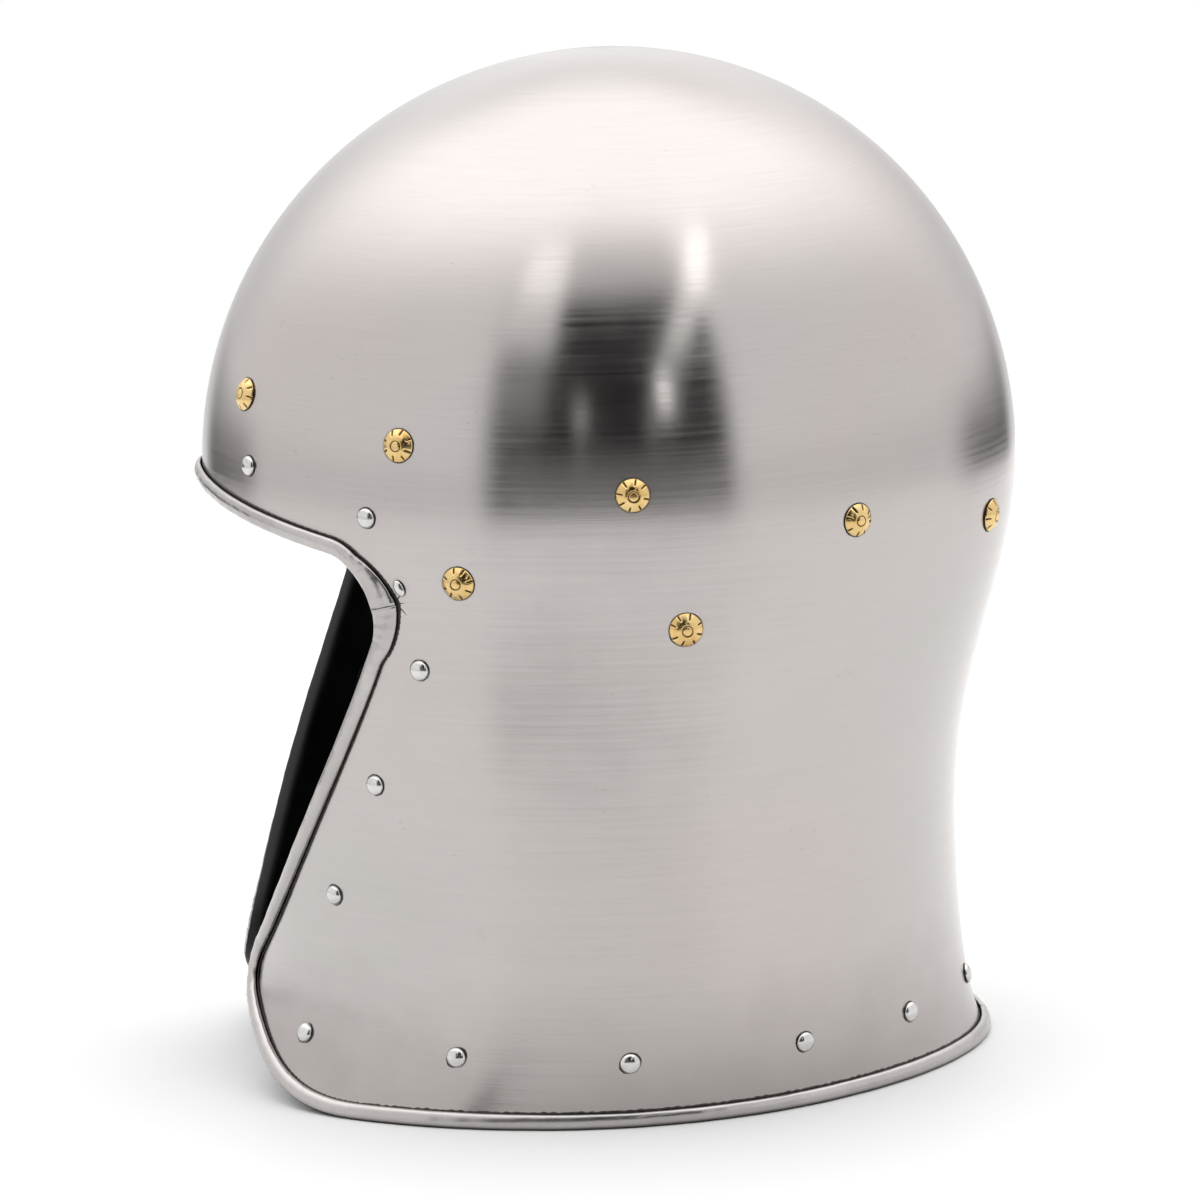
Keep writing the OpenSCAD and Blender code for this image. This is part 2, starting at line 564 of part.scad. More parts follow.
keeper_z = bar_z + fold_up + 8;
keeper_t = 1.6;
keeper_h = 8;
module strap_keeper() color("saddlebrown") translate([strap_x, swivel_y, keeper_z]) difference() {
    cube([leather_t + 0.3 + 2 * keeper_t, strap_w + 0.4 + 2 * keeper_t, keeper_h], center = true);
    cube([leather_t + 0.3, strap_w + 0.4, keeper_h + 2], center = true);
}

skull();
brow_trim();
left_side_trim();
right_side_trim();
brow_rivets();
temple_rivets();
left_cheek_rivets();
right_cheek_rivets();
hem_rivets();
brow_roves();
temple_roves();
cheek_roves();
hem_roves();
lining_rosettes();
lining_roves();
strap_rosettes();
strap_roves();
lining_band();
lobe_1();
lobe_2();
lobe_3();
lobe_4();
lobe_5();
lobe_6();
lobe_7();
lobe_8();
lobe_cord();
left_front_leg();
left_rear_leg();
right_front_leg();
right_rear_leg();
left_swivel_rivet();
right_swivel_rivet();
left_chin_strap();
right_chin_strap();
strap_stitch_rivet();
buckle_frame();
buckle_prong();
strap_keeper();
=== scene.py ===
"""Visual model of an open-faced knight's helmet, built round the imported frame.

Parts are in millimetres until new_mesh() turns them into metres; materials, camera and floor
are in metres. A place on the skull is written (f, z): f is the angle round the head in degrees,
0 at the face and 180 at the nape, and z is the height. n is the distance out from the outside
of the plate. A part is (points, faces).
"""

from math import atan, cos, exp, hypot, pi, radians, sin, sqrt

import bpy
import numpy as np
from mathutils import Matrix, Vector


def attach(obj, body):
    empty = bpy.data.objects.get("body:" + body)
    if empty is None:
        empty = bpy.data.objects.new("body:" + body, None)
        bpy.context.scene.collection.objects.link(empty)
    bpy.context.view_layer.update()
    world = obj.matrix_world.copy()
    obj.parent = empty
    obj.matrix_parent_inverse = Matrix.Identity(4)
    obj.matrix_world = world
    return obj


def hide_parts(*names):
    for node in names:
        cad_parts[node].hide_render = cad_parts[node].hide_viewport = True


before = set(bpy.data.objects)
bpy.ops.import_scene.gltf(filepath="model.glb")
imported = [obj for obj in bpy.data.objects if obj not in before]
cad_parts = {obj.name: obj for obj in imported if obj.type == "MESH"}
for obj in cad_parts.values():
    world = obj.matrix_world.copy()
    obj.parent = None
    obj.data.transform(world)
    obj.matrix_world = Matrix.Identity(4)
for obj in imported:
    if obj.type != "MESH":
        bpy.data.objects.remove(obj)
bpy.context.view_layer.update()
MM = 0.001

# ---- the skull's surface, as part.scad has it

HELMET_H = 300.0
EQUATOR_H = 178.5
DOME_H = HELMET_H - EQUATOR_H
CENTRE_Y = 3.05
LOW_Z = (0.0, 40.0, 90.0, 140.0)
FRONT = (123.0, (137.0, 114.3, 115.9, 120.0))
BACK = (119.2, (107.0, 99.5, 100.5, 113.0))
SIDE = (107.4, (104.2, 104.7, 105.6, 105.8))
SQUARE_FRONT, SQUARE_BACK = 0.014, 0.03
PLATE_T, PLATE_IN = 1.6, 2.2
BEAD_W, BEAD_H = 5.0, 2.3
STRIP_W, BROW_STRIP_W, FLANGE_T = 26.0, 22.0, 1.2
LIP_GAP, FLANGE_GAP, SLOT_IN = 0.2, 0.5, 1.9


def floats(values):
    return np.asarray(values, float)


def reach(z, spec):
    """Half-extent of the plan at height z: an ellipse above the equator, four heights below."""
    at_equator, low = spec

    def cap(h):
        return at_equator * (1 - ((EQUATOR_H - h) / DOME_H) ** 2 / 2)

    fall = (EQUATOR_H - z) / EQUATOR_H
    cubic = 0
    for i, zi in enumerate(LOW_Z):
        w = (low[i] - cap(zi)) / ((EQUATOR_H - zi) / EQUATOR_H) ** 3
        for zj in LOW_Z:
            if zj != zi:
                w = w * (z - zj) / (zi - zj)
        cubic = cubic + w
    above = at_equator * np.sqrt(np.clip(1 - ((z - EQUATOR_H) / DOME_H) ** 2, 0, 1))
    return np.where(z > EQUATOR_H, above, cap(z) + fall ** 3 * cubic)


def wall(f, z):
    """Points on the outside of the plate."""
    f, z = np.broadcast_arrays(floats(f), floats(z))
    a = np.radians(f)
    front, back, side = reach(z, FRONT), reach(z, BACK), reach(z, SIDE)
    draw = 1 - (SQUARE_FRONT + (SQUARE_BACK - SQUARE_FRONT) * (1 - np.cos(a)) / 2) * np.sin(2 * a) ** 2
    y = (back - front) / 2 - (front + back) / 2 * np.cos(a) * draw + CENTRE_Y
    return np.stack([side * np.sin(a) * draw, y, z], -1)


def unit(v):
    v = floats(v)
    return v / np.maximum(np.linalg.norm(v, axis=-1, keepdims=True), 1e-12)


def slopes(f, z, step):
    """Change along the plate for 2 * step of f and of z."""
    return wall(f + step, z) - wall(f - step, z), wall(f, z + step) - wall(f, z - step)


def out(f, z, step=0.05):
    """Directions straight out of the plate."""
    f, z = np.broadcast_arrays(floats(f), floats(z))
    n = unit(np.cross(*slopes(f, np.minimum(z, HELMET_H - 2 * step), step)))
    return np.where((z > HELMET_H - 0.02)[..., None], np.array([0.0, 0.0, 1.0]), n)


def skin(f, z, n):
    return wall(f, z) + floats(n)[..., None] * out(f, z)


def up_angle(z):
    """Angle above the equator of a height on the dome, carried on evenly below it."""
    z = floats(z)
    return np.degrees(np.where(z > EQUATOR_H, np.arcsin(np.clip((z - EQUATOR_H) / DOME_H, -1, 1)),
                               (z - EQUATOR_H) / DOME_H))


def height(v):
    v = np.radians(floats(v))
    return EQUATOR_H + DOME_H * np.where(v > 0, np.sin(v), v)


# ---- the edge of the plate

BROW_H, BROW_FALL, BROW_ROUND, BROW_END_F = 176.5, 0.315, 12.0, 44.0
TEMPLE_UPPER, TEMPLE_LOWER, CHEEK_TOP, CHEEK_BEND = (48.5, 164.5), (52.9, 150.5), (50.6, 140.2), (39.5, 91.4)
CHEEK_END, CHIN_TIP, SWEEP_TOP = (13.8, 43.0), (6.8, 29.7), (16.0, 20.7)
SWEEP_END_F, HEM_Z = 54.0, -0.3
CORNER_T = 1.68              # where the brow strip meets the side strips


def brow(f):
    return BROW_H - BROW_FALL * (hypot(f, BROW_ROUND) - BROW_ROUND)


SWEEP_SLOPE = (SWEEP_TOP[0] - CHIN_TIP[0]) / (CHIN_TIP[1] - SWEEP_TOP[1])
SWEEP_TIP = (SWEEP_TOP[0] + (SWEEP_TOP[1] - HEM_Z) * SWEEP_SLOPE, HEM_Z)
CURVES = {1: ((BROW_END_F, brow(BROW_END_F)), TEMPLE_UPPER, TEMPLE_LOWER, CHEEK_TOP),
          2: (CHEEK_TOP, CHEEK_BEND, CHEEK_END), 3: (CHEEK_END, CHIN_TIP, SWEEP_TOP),
          4: (SWEEP_TOP, SWEEP_TIP, (SWEEP_END_F, HEM_Z))}


def bezier(points, t):
    points = floats(points)
    while len(points) > 1:
        points = points[:-1] + t * (points[1:] - points[:-1])
    return points[0]


def rim(t):
    """Edge of the trim at t: 0 brow, 1 temple corner, 2 cheek, 3 chin, 4 sweep, 5 hem, 6 nape."""
    if t < 1:
        return np.array([t * BROW_END_F, brow(t * BROW_END_F)])
    if t < 5:
        return bezier(CURVES[int(t)], t - int(t))
    return np.array([SWEEP_END_F + (180 - SWEEP_END_F) * (t - 5), HEM_Z])


def inward(t, step=0.05):
    """Change in (f, z) that goes 1 mm into the plate, square to the rim."""
    f, z = rim(t)
    turn = rim(t + 0.002) - rim(t - 0.002)
    df, dz = (d / (2 * step) for d in slopes(f, z, step))
    w = np.cross(out(f, z), unit(df * turn[0] + dz * turn[1]))
    e, g, h = df @ df, dz @ dz, df @ dz
    det = e * g - h * h
    return np.array([(w @ df) * g - (w @ dz) * h, (w @ dz) * e - (w @ df) * h]) / det


def inset(t, s):
    return rim(t) + s * inward(t)


# ---- making pieces

def signed_volume(part):
    """Six times the volume: negative where the faces are wound inside out."""
    v, faces = floats(part[0]), part[1]
    tris = np.array([(f[0], f[i], f[i + 1]) for f in faces for i in range(1, len(f) - 1)])
    return np.einsum("ij,ij->", v[tris[:, 0]], np.cross(v[tris[:, 1]], v[tris[:, 2]]))


def new_mesh(name, part):
    mesh = bpy.data.meshes.new(name)
    mesh.from_pydata((floats(part[0]) * MM).tolist(), [], part[1])
    return mesh


def new_object(name, data):
    made = bpy.data.objects.new(name, data)
    bpy.context.scene.collection.objects.link(made)
    return made


def cut_away(mesh, cutter):
    """The mesh with another part cut out of it."""
    tool_mesh = new_mesh("cutter", cutter)
    if signed_volume(cutter) < 0:
        tool_mesh.flip_normals()
    tool, work = new_object("cutter", tool_mesh), new_object("work", mesh)
    cut = work.modifiers.new("cut", "BOOLEAN")
    cut.object = tool
    cut.solver = "EXACT"
    graph = bpy.context.evaluated_depsgraph_get()
    done = bpy.data.meshes.new_from_object(work.evaluated_get(graph))
    for o in (tool, work):
        bpy.data.objects.remove(o)
    done.name = mesh.name
    done.set_sharp_from_angle(angle=radians(50))
    return done


def mesh_piece(name, part, materials, nodes=(), body="helmet", normals=None, face_material=None,
               attributes=None, cutter=None):
    """Adds a part as a piece, rides it on a body and hides the nodes it stands for."""
    mesh = new_mesh(name, part)
    mesh.update()
    for material in materials:
        mesh.materials.append(material)
    mesh.polygons.foreach_set("use_smooth", [True] * len(mesh.polygons))
    if face_material is not None:
        mesh.polygons.foreach_set("material_index", face_material)
    for key, values in (attributes or {}).items():
        mesh.attributes.new(key, "FLOAT", "POINT").data.foreach_set("value", np.asarray(values, np.float32))
    if normals is not None:
        mesh.normals_split_custom_set_from_vertices(floats(normals).tolist())
    elif signed_volume(part) < 0:
        mesh.flip_normals()
    if cutter:
        mesh = cut_away(mesh, cutter)
    piece = new_object(name, mesh)
    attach(piece, body)
    if nodes:
        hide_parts(*nodes)


def around(steps):
    """Angles of a full turn, in radians."""
    return np.linspace(0, 2 * pi, steps, False)


def grid_faces(rows, cols, wrap_rows=False, wrap_cols=False, start=0):
    faces = []
    for r in range(rows if wrap_rows else rows - 1):
        low, high = start + r * cols, start + ((r + 1) % rows) * cols
        for c in range(cols if wrap_cols else cols - 1):
            d = (c + 1) % cols
            faces.append((low + c, low + d, high + d, high + c))
    return faces


def loft(sections, closed=False):
    """A solid through equal closed cross-sections."""
    sections = floats(sections)
    rows, cols = sections.shape[:2]
    faces = grid_faces(rows, cols, wrap_rows=closed, wrap_cols=True)
    if not closed:
        faces.append(tuple(range(cols))[::-1])
        faces.append(tuple(range((rows - 1) * cols, rows * cols)))
    return sections.reshape(-1, 3), faces


def flip(points):
    return np.asarray(points) * np.array([-1.0, 1.0, 1.0])


def join(parts):
    points, faces, start = [], [], 0
    for p, f in parts:
        points.append(floats(p))
        faces += [tuple(i + start for i in face) for face in f]
        start += len(p)
    return np.concatenate(points), faces


def mirrored(part):
    return flip(part[0]), [face[::-1] for face in part[1]]


def both_sides(part):
    return [part, mirrored(part)]


# ---- materials

class Tree:
    """Builds a node tree, in which a value is a number, a colour or another node's output."""

    def __init__(self, tree):
        self.tree = tree
        tree.nodes.clear()

    def add(self, kind, **settings):
        node = self.tree.nodes.new(kind)
        for key, value in settings.items():
            setattr(node, key, value)
        return node

    def feed(self, socket, value):
        if hasattr(value, "is_output"):
            self.tree.links.new(value, socket)
        else:
            socket.default_value = (*value, 1.0) if isinstance(value, tuple) else value

    def fed(self, kind, out_socket, settings=(), **values):
        """Output of a new node whose inputs, named with _ for a space, are fed with values."""
        node = self.add(kind, **dict(settings))
        for key, value in values.items():
            self.feed(node.inputs[key.replace("_", " ")], value)
        return node.outputs[out_socket]

    def span(self, value, low=0.3, high=0.7, to_low=0.0, to_high=1.0, soft=False):
        """Maps low..high to to_low..to_high, held at both ends."""
        kind = "SMOOTHSTEP" if soft else "LINEAR"
        return self.fed("ShaderNodeMapRange", 0, {"interpolation_type": kind}, From_Min=low, From_Max=high,
                        To_Min=to_low, To_Max=to_high, Value=value)

    def math(self, operation, *values):
        node = self.add("ShaderNodeMath", operation=operation)
        for socket, value in zip(node.inputs, values):
            self.feed(socket, value)
        return node.outputs[0]

    def plus(self, a, b):
        return self.math("ADD", a, b)

    def minus(self, a, b):
        return self.math("SUBTRACT", a, b)

    def times(self, a, b):
        return self.math("MULTIPLY", a, b)


class Nodes(Tree):
    """One material's tree, round a Principled shader."""

    def __init__(self, name):
        self.material = bpy.data.materials.new(name)
        self.material.use_nodes = True
        super().__init__(self.material.node_tree)
        self.shader = self.add("ShaderNodeBsdfPrincipled")
        self.feed(self.add("ShaderNodeOutputMaterial").inputs[0], self.shader.outputs[0])
        self.place = self.add("ShaderNodeTexCoord").outputs["Object"]

    def set(self, **values):
        for key, value in values.items():
            self.feed(self.shader.inputs[key.replace("_", " ")], value)
        return self.material

    def stretch(self, scale, turn=(0, 0, 0)):
        node = self.add("ShaderNodeMapping")
        node.inputs["Scale"].default_value = scale
        node.inputs["Rotation"].default_value = turn
        self.feed(node.inputs["Vector"], self.place)
        return node.outputs[0]

    def noise(self, scale=1.0, detail=3.0, rough=0.55, where=None):
        return self.fed("ShaderNodeTexNoise", "Fac", Scale=scale, Detail=detail, Roughness=rough,
                        Vector=where or self.place)

    def cells(self, scale, feature="F1", where=None):
        return self.fed("ShaderNodeTexVoronoi", "Distance", {"feature": feature}, Scale=scale,
                        Vector=where or self.place)

    def height(self):
        """Height over the floor, in metres."""
        return self.fed("ShaderNodeSeparateXYZ", 2, Vector=self.place)

    def mix(self, factor, a, b):
        node = self.add("ShaderNodeMix", data_type="RGBA")
        for socket, value in zip((node.inputs[0], node.inputs[6], node.inputs[7]), (factor, a, b)):
            self.feed(socket, value)
        return node.outputs[2]

    def blend(self, value, a, b, low=0.3, high=0.7, most=1.0):
        """From a to b as value goes from low to high."""
        return self.mix(self.span(value, low, high, 0, most), a, b)

    def bump(self, value, distance, strength=1.0, under=None):
        values = {} if under is None else {"Normal": under}
        return self.fed("ShaderNodeBump", 0, Distance=distance, Strength=strength, Height=value, **values)

    def crevice(self, distance, low=0.45, high=0.95):
        """1 in the open and 0 in tight corners within the given distance."""
        occlusion = self.fed("ShaderNodeAmbientOcclusion", "AO", {"samples": 8}, Distance=distance)
        return self.span(occlusion, low, high, soft=True)


def steel_skin():
    """Outside of the plate: satin steel, brushed round the head, with faint waves, pits and smudges."""
    m = Nodes("skull_steel_outside")
    fine = m.noise(1, 2, 0.6, m.stretch((60, 60, 3600)))
    long_lines = m.noise(1, 3, 0.6, m.stretch((11, 11, 800)))
    waves = m.noise(13, 1, 0.4)
    smudge = m.noise(9, 4, 0.6, m.stretch((1, 1, 2.2)))
    tint = m.noise(6, 2, 0.5)
    blotch = m.noise(42, 3, 0.6)
    pits = m.span(m.cells(560, where=m.stretch((1, 1, 0.7))), 0.05, 0.10)
    pit_mask = m.math("MAXIMUM", pits, m.minus(1.0, m.span(m.noise(70, 2), 0.60, 0.64)))
    # Painted shade: the plate darker in tight corners by the trim and heads, mixed with random blotches of
    # darker tone
    shade_and_blotch = m.plus(m.crevice(0.007, 0.5, 0.98), m.span(blotch, 0.35, 0.65, -0.12, 0.12))
    base = m.blend(tint, (0.478, 0.430, 0.418), (0.442, 0.436, 0.418), 0.35, 0.65)
    base = m.blend(smudge, base, (0.482, 0.448, 0.436))
    base = m.blend(fine, base, (0.515, 0.480, 0.467), 0.25, 0.75, 0.5)
    base = m.mix(pit_mask, (0.14, 0.13, 0.12), base)
    base = m.blend(shade_and_blotch, (0.23, 0.215, 0.205), base, 0.0, 0.86)
    # Painted shade: the plate darker towards the hem, standing in for the shadowed floor close by it
    hem_shade_height = m.plus(m.height(), m.span(blotch, 0.3, 0.7, -0.008, 0.008))
    base = m.blend(hem_shade_height, (0.385, 0.355, 0.344), base, 0.006, 0.045)
    rough = m.plus(m.span(blotch, 0.3, 0.75, 0.15, 0.20), m.span(long_lines, 0.3, 0.7, -0.02, 0.04))
    normal = m.bump(long_lines, 0.000012, 0.25, m.bump(waves, 0.0010, 0.35))
    normal = m.bump(fine, 0.000012, 0.45, normal)
    tangent = m.add("ShaderNodeTangent", direction_type="RADIAL", axis="Z").outputs[0]
    return m.set(Base_Color=base, Metallic=1.0, Roughness=rough, Normal=normal, Anisotropic=0.55,
                 Anisotropic_Rotation=0.25, Tangent=tangent)


def steel_inside():
    """Inside of the plate: blackened against rust, with the marks of the hammer under it."""
    m = Nodes("skull_steel_inside")
    mottle = m.noise(55, 5, 0.65)
    base = m.blend(mottle, (0.007, 0.007, 0.007), (0.020, 0.019, 0.018), 0.35)
    return m.set(Base_Color=base, Roughness=m.span(mottle, 0.3, 0.7, 0.45, 0.65), Specular_IOR_Level=0.3,
                 Normal=m.bump(m.cells(70, "SMOOTH_F1"), 0.0008, 0.4))


def seam_shadow():
    """Near-black colour of painted shade: the shadow lines along the trim, the rings round the heads and the
    creases at the temple corner.
    """
    m = Nodes("seam_shadow")
    base = m.blend(m.noise(900, 3, 0.6), (0.018, 0.016, 0.014), (0.070, 0.062, 0.055))
    return m.set(Base_Color=base, Metallic=0.4, Roughness=0.6)


def steel_trim():
    m = Nodes("trim_steel_worn")
    lines = m.noise(1, 3, 0.6, m.stretch((300, 300, 300)))
    dents = m.noise(120, 2, 0.5)
    tone = m.noise(26, 3, 0.6)
    base = m.blend(tone, (0.39, 0.365, 0.355), (0.50, 0.475, 0.465))
    base = m.blend(lines, base, (0.36, 0.35, 0.34), 0.45, 0.75, 0.35)
    # Painted shade: dark in the tight corners of the trim
    base = m.mix(m.crevice(0.0025, 0.30, 0.85), (0.06, 0.055, 0.05), base)
    return m.set(Base_Color=base, Metallic=1.0, Roughness=m.span(tone, 0.3, 0.7, 0.18, 0.30),
                 Normal=m.bump(lines, 0.00003, 0.5, m.bump(dents, 0.00028, 0.4)))


def steel_rivet():
    m = Nodes("rivet_steel_polished")
    tone = m.noise(300, 3, 0.6)
    base = m.blend(tone, (0.54, 0.53, 0.52), (0.66, 0.65, 0.64))
    # Painted shade: dark round the foot of the head, where it meets the plate
    base = m.mix(m.crevice(0.0014, 0.3, 0.85), (0.09, 0.085, 0.08), base)
    return m.set(Base_Color=base, Metallic=1.0, Roughness=m.span(tone, 0.3, 0.7, 0.10, 0.20),
                 Normal=m.bump(tone, 0.00006, 0.5))


def steel_rove():
    m = Nodes("rove_steel_dull")
    tone = m.noise(240, 4, 0.6)
    return m.set(Base_Color=m.blend(tone, (0.10, 0.095, 0.09), (0.24, 0.225, 0.21)), Metallic=0.9,
                 Roughness=m.span(tone, 0.3, 0.7, 0.4, 0.6), Normal=m.bump(tone, 0.0001, 0.6))


def brass(name, low, high, rough, cuts=False):
    """Brass with a little patina; where cuts is set, the piece's "cut" attribute darkens its grooves."""
    m = Nodes(name)
    tone = m.noise(180, 4, 0.6)
    scratches = m.noise(1, 3, 0.6, m.stretch((900, 240, 900), (0.3, 0.5, 0.2)))
    base = m.mix(m.crevice(0.0012, 0.35, 0.85), (0.14, 0.075, 0.018), m.blend(tone, low, high))
    if cuts:
        groove = m.add("ShaderNodeAttribute", attribute_name="cut").outputs["Fac"]
        base = m.blend(groove, base, (0.050, 0.026, 0.008), 0.12, 0.5)
    return m.set(Base_Color=base, Metallic=1.0, Roughness=m.span(tone, 0.3, 0.7, rough, rough + 0.1),
                 Normal=m.bump(scratches, 0.00002, 0.4, m.bump(tone, 0.00006, 0.4)))


def leather(name, dark, light, grain=420, rough=0.5):
    """Tanned leather: pores and creases, lighter where it is worn, and painted shade that darkens it in the
    corners.
    """
    m = Nodes(name)
    pores = m.cells(grain * 2.2)
    creases = m.cells(grain * 0.55, "SMOOTH_F1")
    wear = m.noise(110, 4, 0.65)
    base = m.blend(m.noise(30, 4, 0.6), dark, light)
    base = m.blend(wear, base, tuple(min(1, 1.7 * c) for c in light), 0.55, 0.75, 0.5)
    # Painted shade: darker in the corners
    base = m.mix(m.crevice(0.003, 0.3, 0.8), tuple(0.35 * c for c in dark), base)
    return m.set(Base_Color=base, Roughness=m.span(wear, 0.3, 0.7, rough - 0.07, rough + 0.12),
                 Normal=m.bump(pores, 0.00018, 0.45, m.bump(creases, 0.0005, 0.35)), Specular_IOR_Level=0.35)


def thread(name, colour):
    m = Nodes(name)
    fibre = m.noise(2600, 2, 0.6)
    return m.set(Base_Color=m.blend(fibre, tuple(0.6 * c for c in colour), colour), Roughness=0.85,
                 Normal=m.bump(fibre, 0.0001, 0.6), Sheen_Weight=0.2)


SKIN_STEEL, INSIDE_STEEL, TRIM_STEEL = steel_skin(), steel_inside(), steel_trim()
RIVET_STEEL, ROVE_STEEL, SEAM_SHADOW = steel_rivet(), steel_rove(), seam_shadow()
ROSETTE_BRASS = brass("rosette_brass_aged", (0.60, 0.39, 0.14), (0.80, 0.60, 0.29), 0.14, cuts=True)
STRAP_BRASS = brass("strap_brass_aged", (0.50, 0.31, 0.10), (0.70, 0.47, 0.19), 0.24)
BAND_LEATHER = leather("band_leather_dark", (0.035, 0.018, 0.010), (0.075, 0.040, 0.022))
LOBE_LEATHER = leather("lobe_leather_soft", (0.085, 0.045, 0.024), (0.16, 0.090, 0.050), 300, 0.6)
STRAP_LEATHER = leather("strap_leather_dark", (0.045, 0.023, 0.012), (0.10, 0.055, 0.030))
LINEN = thread("cord_linen", (0.46, 0.38, 0.27))
WAXED = thread("waxed_thread", (0.52, 0.44, 0.31))


# ---- skull

def even(a, b, steps):
    """Evenly spaced values from a up to but not including b."""
    return [a + (b - a) * i / steps for i in range(steps)]


def skull_piece(brow_cols=34, corner_cols=12, side_cols=84, dome_rows=64):
    """The plate as one closed shell. The dome hangs from the crown to the brow and to a level line
    round the sides; below that line level rows run from the cheek and chin edge round the nape."""
    front_cols = brow_cols + corner_cols
    half = front_cols + side_cols
    ring = 2 * half
    brow_edge = [inset(i / brow_cols, PLATE_IN) for i in range(brow_cols + 1)]
    brow_edge += [inset(1 + (CORNER_T - 1) * (i + 1) / corner_cols, PLATE_IN) for i in range(corner_cols)]
    last = brow_edge[-1]
    low_edge = np.array(brow_edge + [(last[0] + (180 - last[0]) * (i + 1) / side_cols, last[1])
                                     for i in range(side_cols)])
    column = np.array([c if c <= half else ring - c for c in range(ring)])
    side_sign = np.array([1 if c <= half else -1 for c in range(ring)])
    f = np.repeat(low_edge[column, 0][None], dome_rows, 0)
    start = up_angle(low_edge[column, 1])
    z = height(start + (90 - start) * (np.arange(dome_rows)[:, None] / dome_rows))
    side_t = even(5, 4, 18) + even(4, 3, 20) + even(3, 2, 54) + even(2, CORNER_T, 8)
    edge = np.array([inset(t, PLATE_IN) for t in side_t])
    strip = 2 * side_cols + 1
    across = np.array([k if k <= side_cols else 2 * side_cols - k for k in range(strip)]) / side_cols
    strip_sign = np.array([1 if k <= side_cols else -1 for k in range(strip)])
    side_f = edge[:, 0][:, None] + (180 - edge[:, 0][:, None]) * across
    side_z = np.repeat(edge[:, 1][:, None], strip, 1)

    def signed(points, sign):
        points = points.copy()
        points[..., 0] *= sign
        return points.reshape(-1, 3)

    def layer(n):
        return np.concatenate([
            signed(skin(f, z, n), side_sign), [[0, CENTRE_Y + (BACK[0] - FRONT[0]) / 2, HELMET_H + n]],
            signed(skin(side_f, side_z, n), strip_sign)])

    normals = np.concatenate([signed(out(f, z), side_sign), [[0, 0, 1.0]],
                              signed(out(side_f, side_z), strip_sign)])
    pole = dome_rows * ring
    rows = len(side_t)

    def dome_i(c, r):
        return r * ring + c % ring

    def side_i(j, k):
        return front_cols + k if j == rows else pole + 1 + j * strip + k

    sheet = [(dome_i(c, r), dome_i(c + 1, r), dome_i(c + 1, r + 1), dome_i(c, r + 1))
             for r in range(dome_rows - 1) for c in range(ring)]
    sheet += [(dome_i(c, dome_rows - 1), dome_i(c + 1, dome_rows - 1), pole) for c in range(ring)]
    sheet += [(side_i(j, k), side_i(j, k + 1), side_i(j + 1, k + 1), side_i(j + 1, k))
              for j in range(rows) for k in range(strip - 1)]
    loop = list(range(front_cols)) + [side_i(rows - j, 0) for j in range(rows)]
    loop += [side_i(0, k) for k in range(strip - 1)] + [side_i(j, strip - 1) for j in range(rows)]
    loop += list(range(ring - front_cols, ring))
    outer, inner = layer(0), layer(-PLATE_T)
    count = len(outer)
    faces = sheet + [tuple(i + count for i in face[::-1]) for face in sheet]
    faces += [(b, a, a + count, b + count) for a, b in zip(loop, loop[1:] + loop[:1])]
    kinds = [0] * len(sheet) + [1] * (len(sheet) + len(loop))
    mesh_piece("skull_plate", (np.concatenate([outer, inner]), faces), [SKIN_STEEL, INSIDE_STEEL],
               ["skull"], normals=np.concatenate([normals, -normals]), face_material=kinds)


skull_piece()


# ---- trim

FLANGE_OUT = -PLATE_T - FLANGE_GAP
BEAD_EDGE = 7.0              # beyond this the strip is flat flange
CHIN_MITRE = np.array([28.0, 36.0])    # where the cheek and hem flanges meet
MITRE_T = (2.898, 4.145)     # stretch of rim whose flange ends there
CORNER_SPREAD, CORNER_REACH = 4.0, 14.0
SEAM_GAP, TEMPLE_GAP = 0.6, 0.16
CORNER_RUN = 34.0            # millimetres of rim for each unit of t at the temple corner
HEM_RUN = 1.9                # millimetres of rim for each degree at the nape
TINY_T = 0.0005


def strip_outline(arc=12):
    """Across the trim: (distance from the rim, height off the plate), clockwise from under the lip."""
    lip = [(BEAD_W - 0.9, LIP_GAP + 0.12), (BEAD_W - 0.4, LIP_GAP + 0.22), (BEAD_W - 0.08, LIP_GAP + 0.55)]
    top = [(BEAD_W * (0.5 + 0.5 * cos(a)), 0.3 + (BEAD_H - 0.3) * sin(a) ** 0.7)
           for a in np.linspace(0.42, pi, arc + 2)[:-1]]
    inner, outer = FLANGE_OUT - FLANGE_T, FLANGE_OUT
    nose = [(0.05, 0.0), (0.05, -0.8), (0.12, -1.7), (0.45, -2.5), (1.2, inner + 0.12), (2.4, inner)]
    along = (5, 7, 11, 15, 20, STRIP_W - 0.4)
    flange = [(s, inner) for s in along] + [(STRIP_W, inner + 0.3), (STRIP_W, outer - 0.3)]
    flange += [(s, outer) for s in along[::-1]]
    return lip + top + nose + flange + [(SLOT_IN, outer), (SLOT_IN, LIP_GAP)]


OUTLINE = strip_outline()
SHADED = [n < 0.1 or (s < 0.6 and n < 1.4) for s, n in OUTLINE]
# Faces with both ends in SHADED take the blackened inside steel: on the flange inside the helmet that is the
# blackened finish of the inside, and on the rim edge of the bead it is painted shade, a dark line along the
# edge such as under the hem by the floor
BLACKENED_AND_SHADE = [int(a and b) for a, b in zip(SHADED, SHADED[1:] + SHADED[:1])]


def cornering(t):
    """1 at the point of the temple corner, falling to 0 a little way from it."""
    away = np.linalg.norm(wall(*rim(t)) - wall(*rim(CORNER_T)))
    return max(0.0, 1 - away / CORNER_REACH)


def bead_width(t):
    return BEAD_W + CORNER_SPREAD * cornering(t)


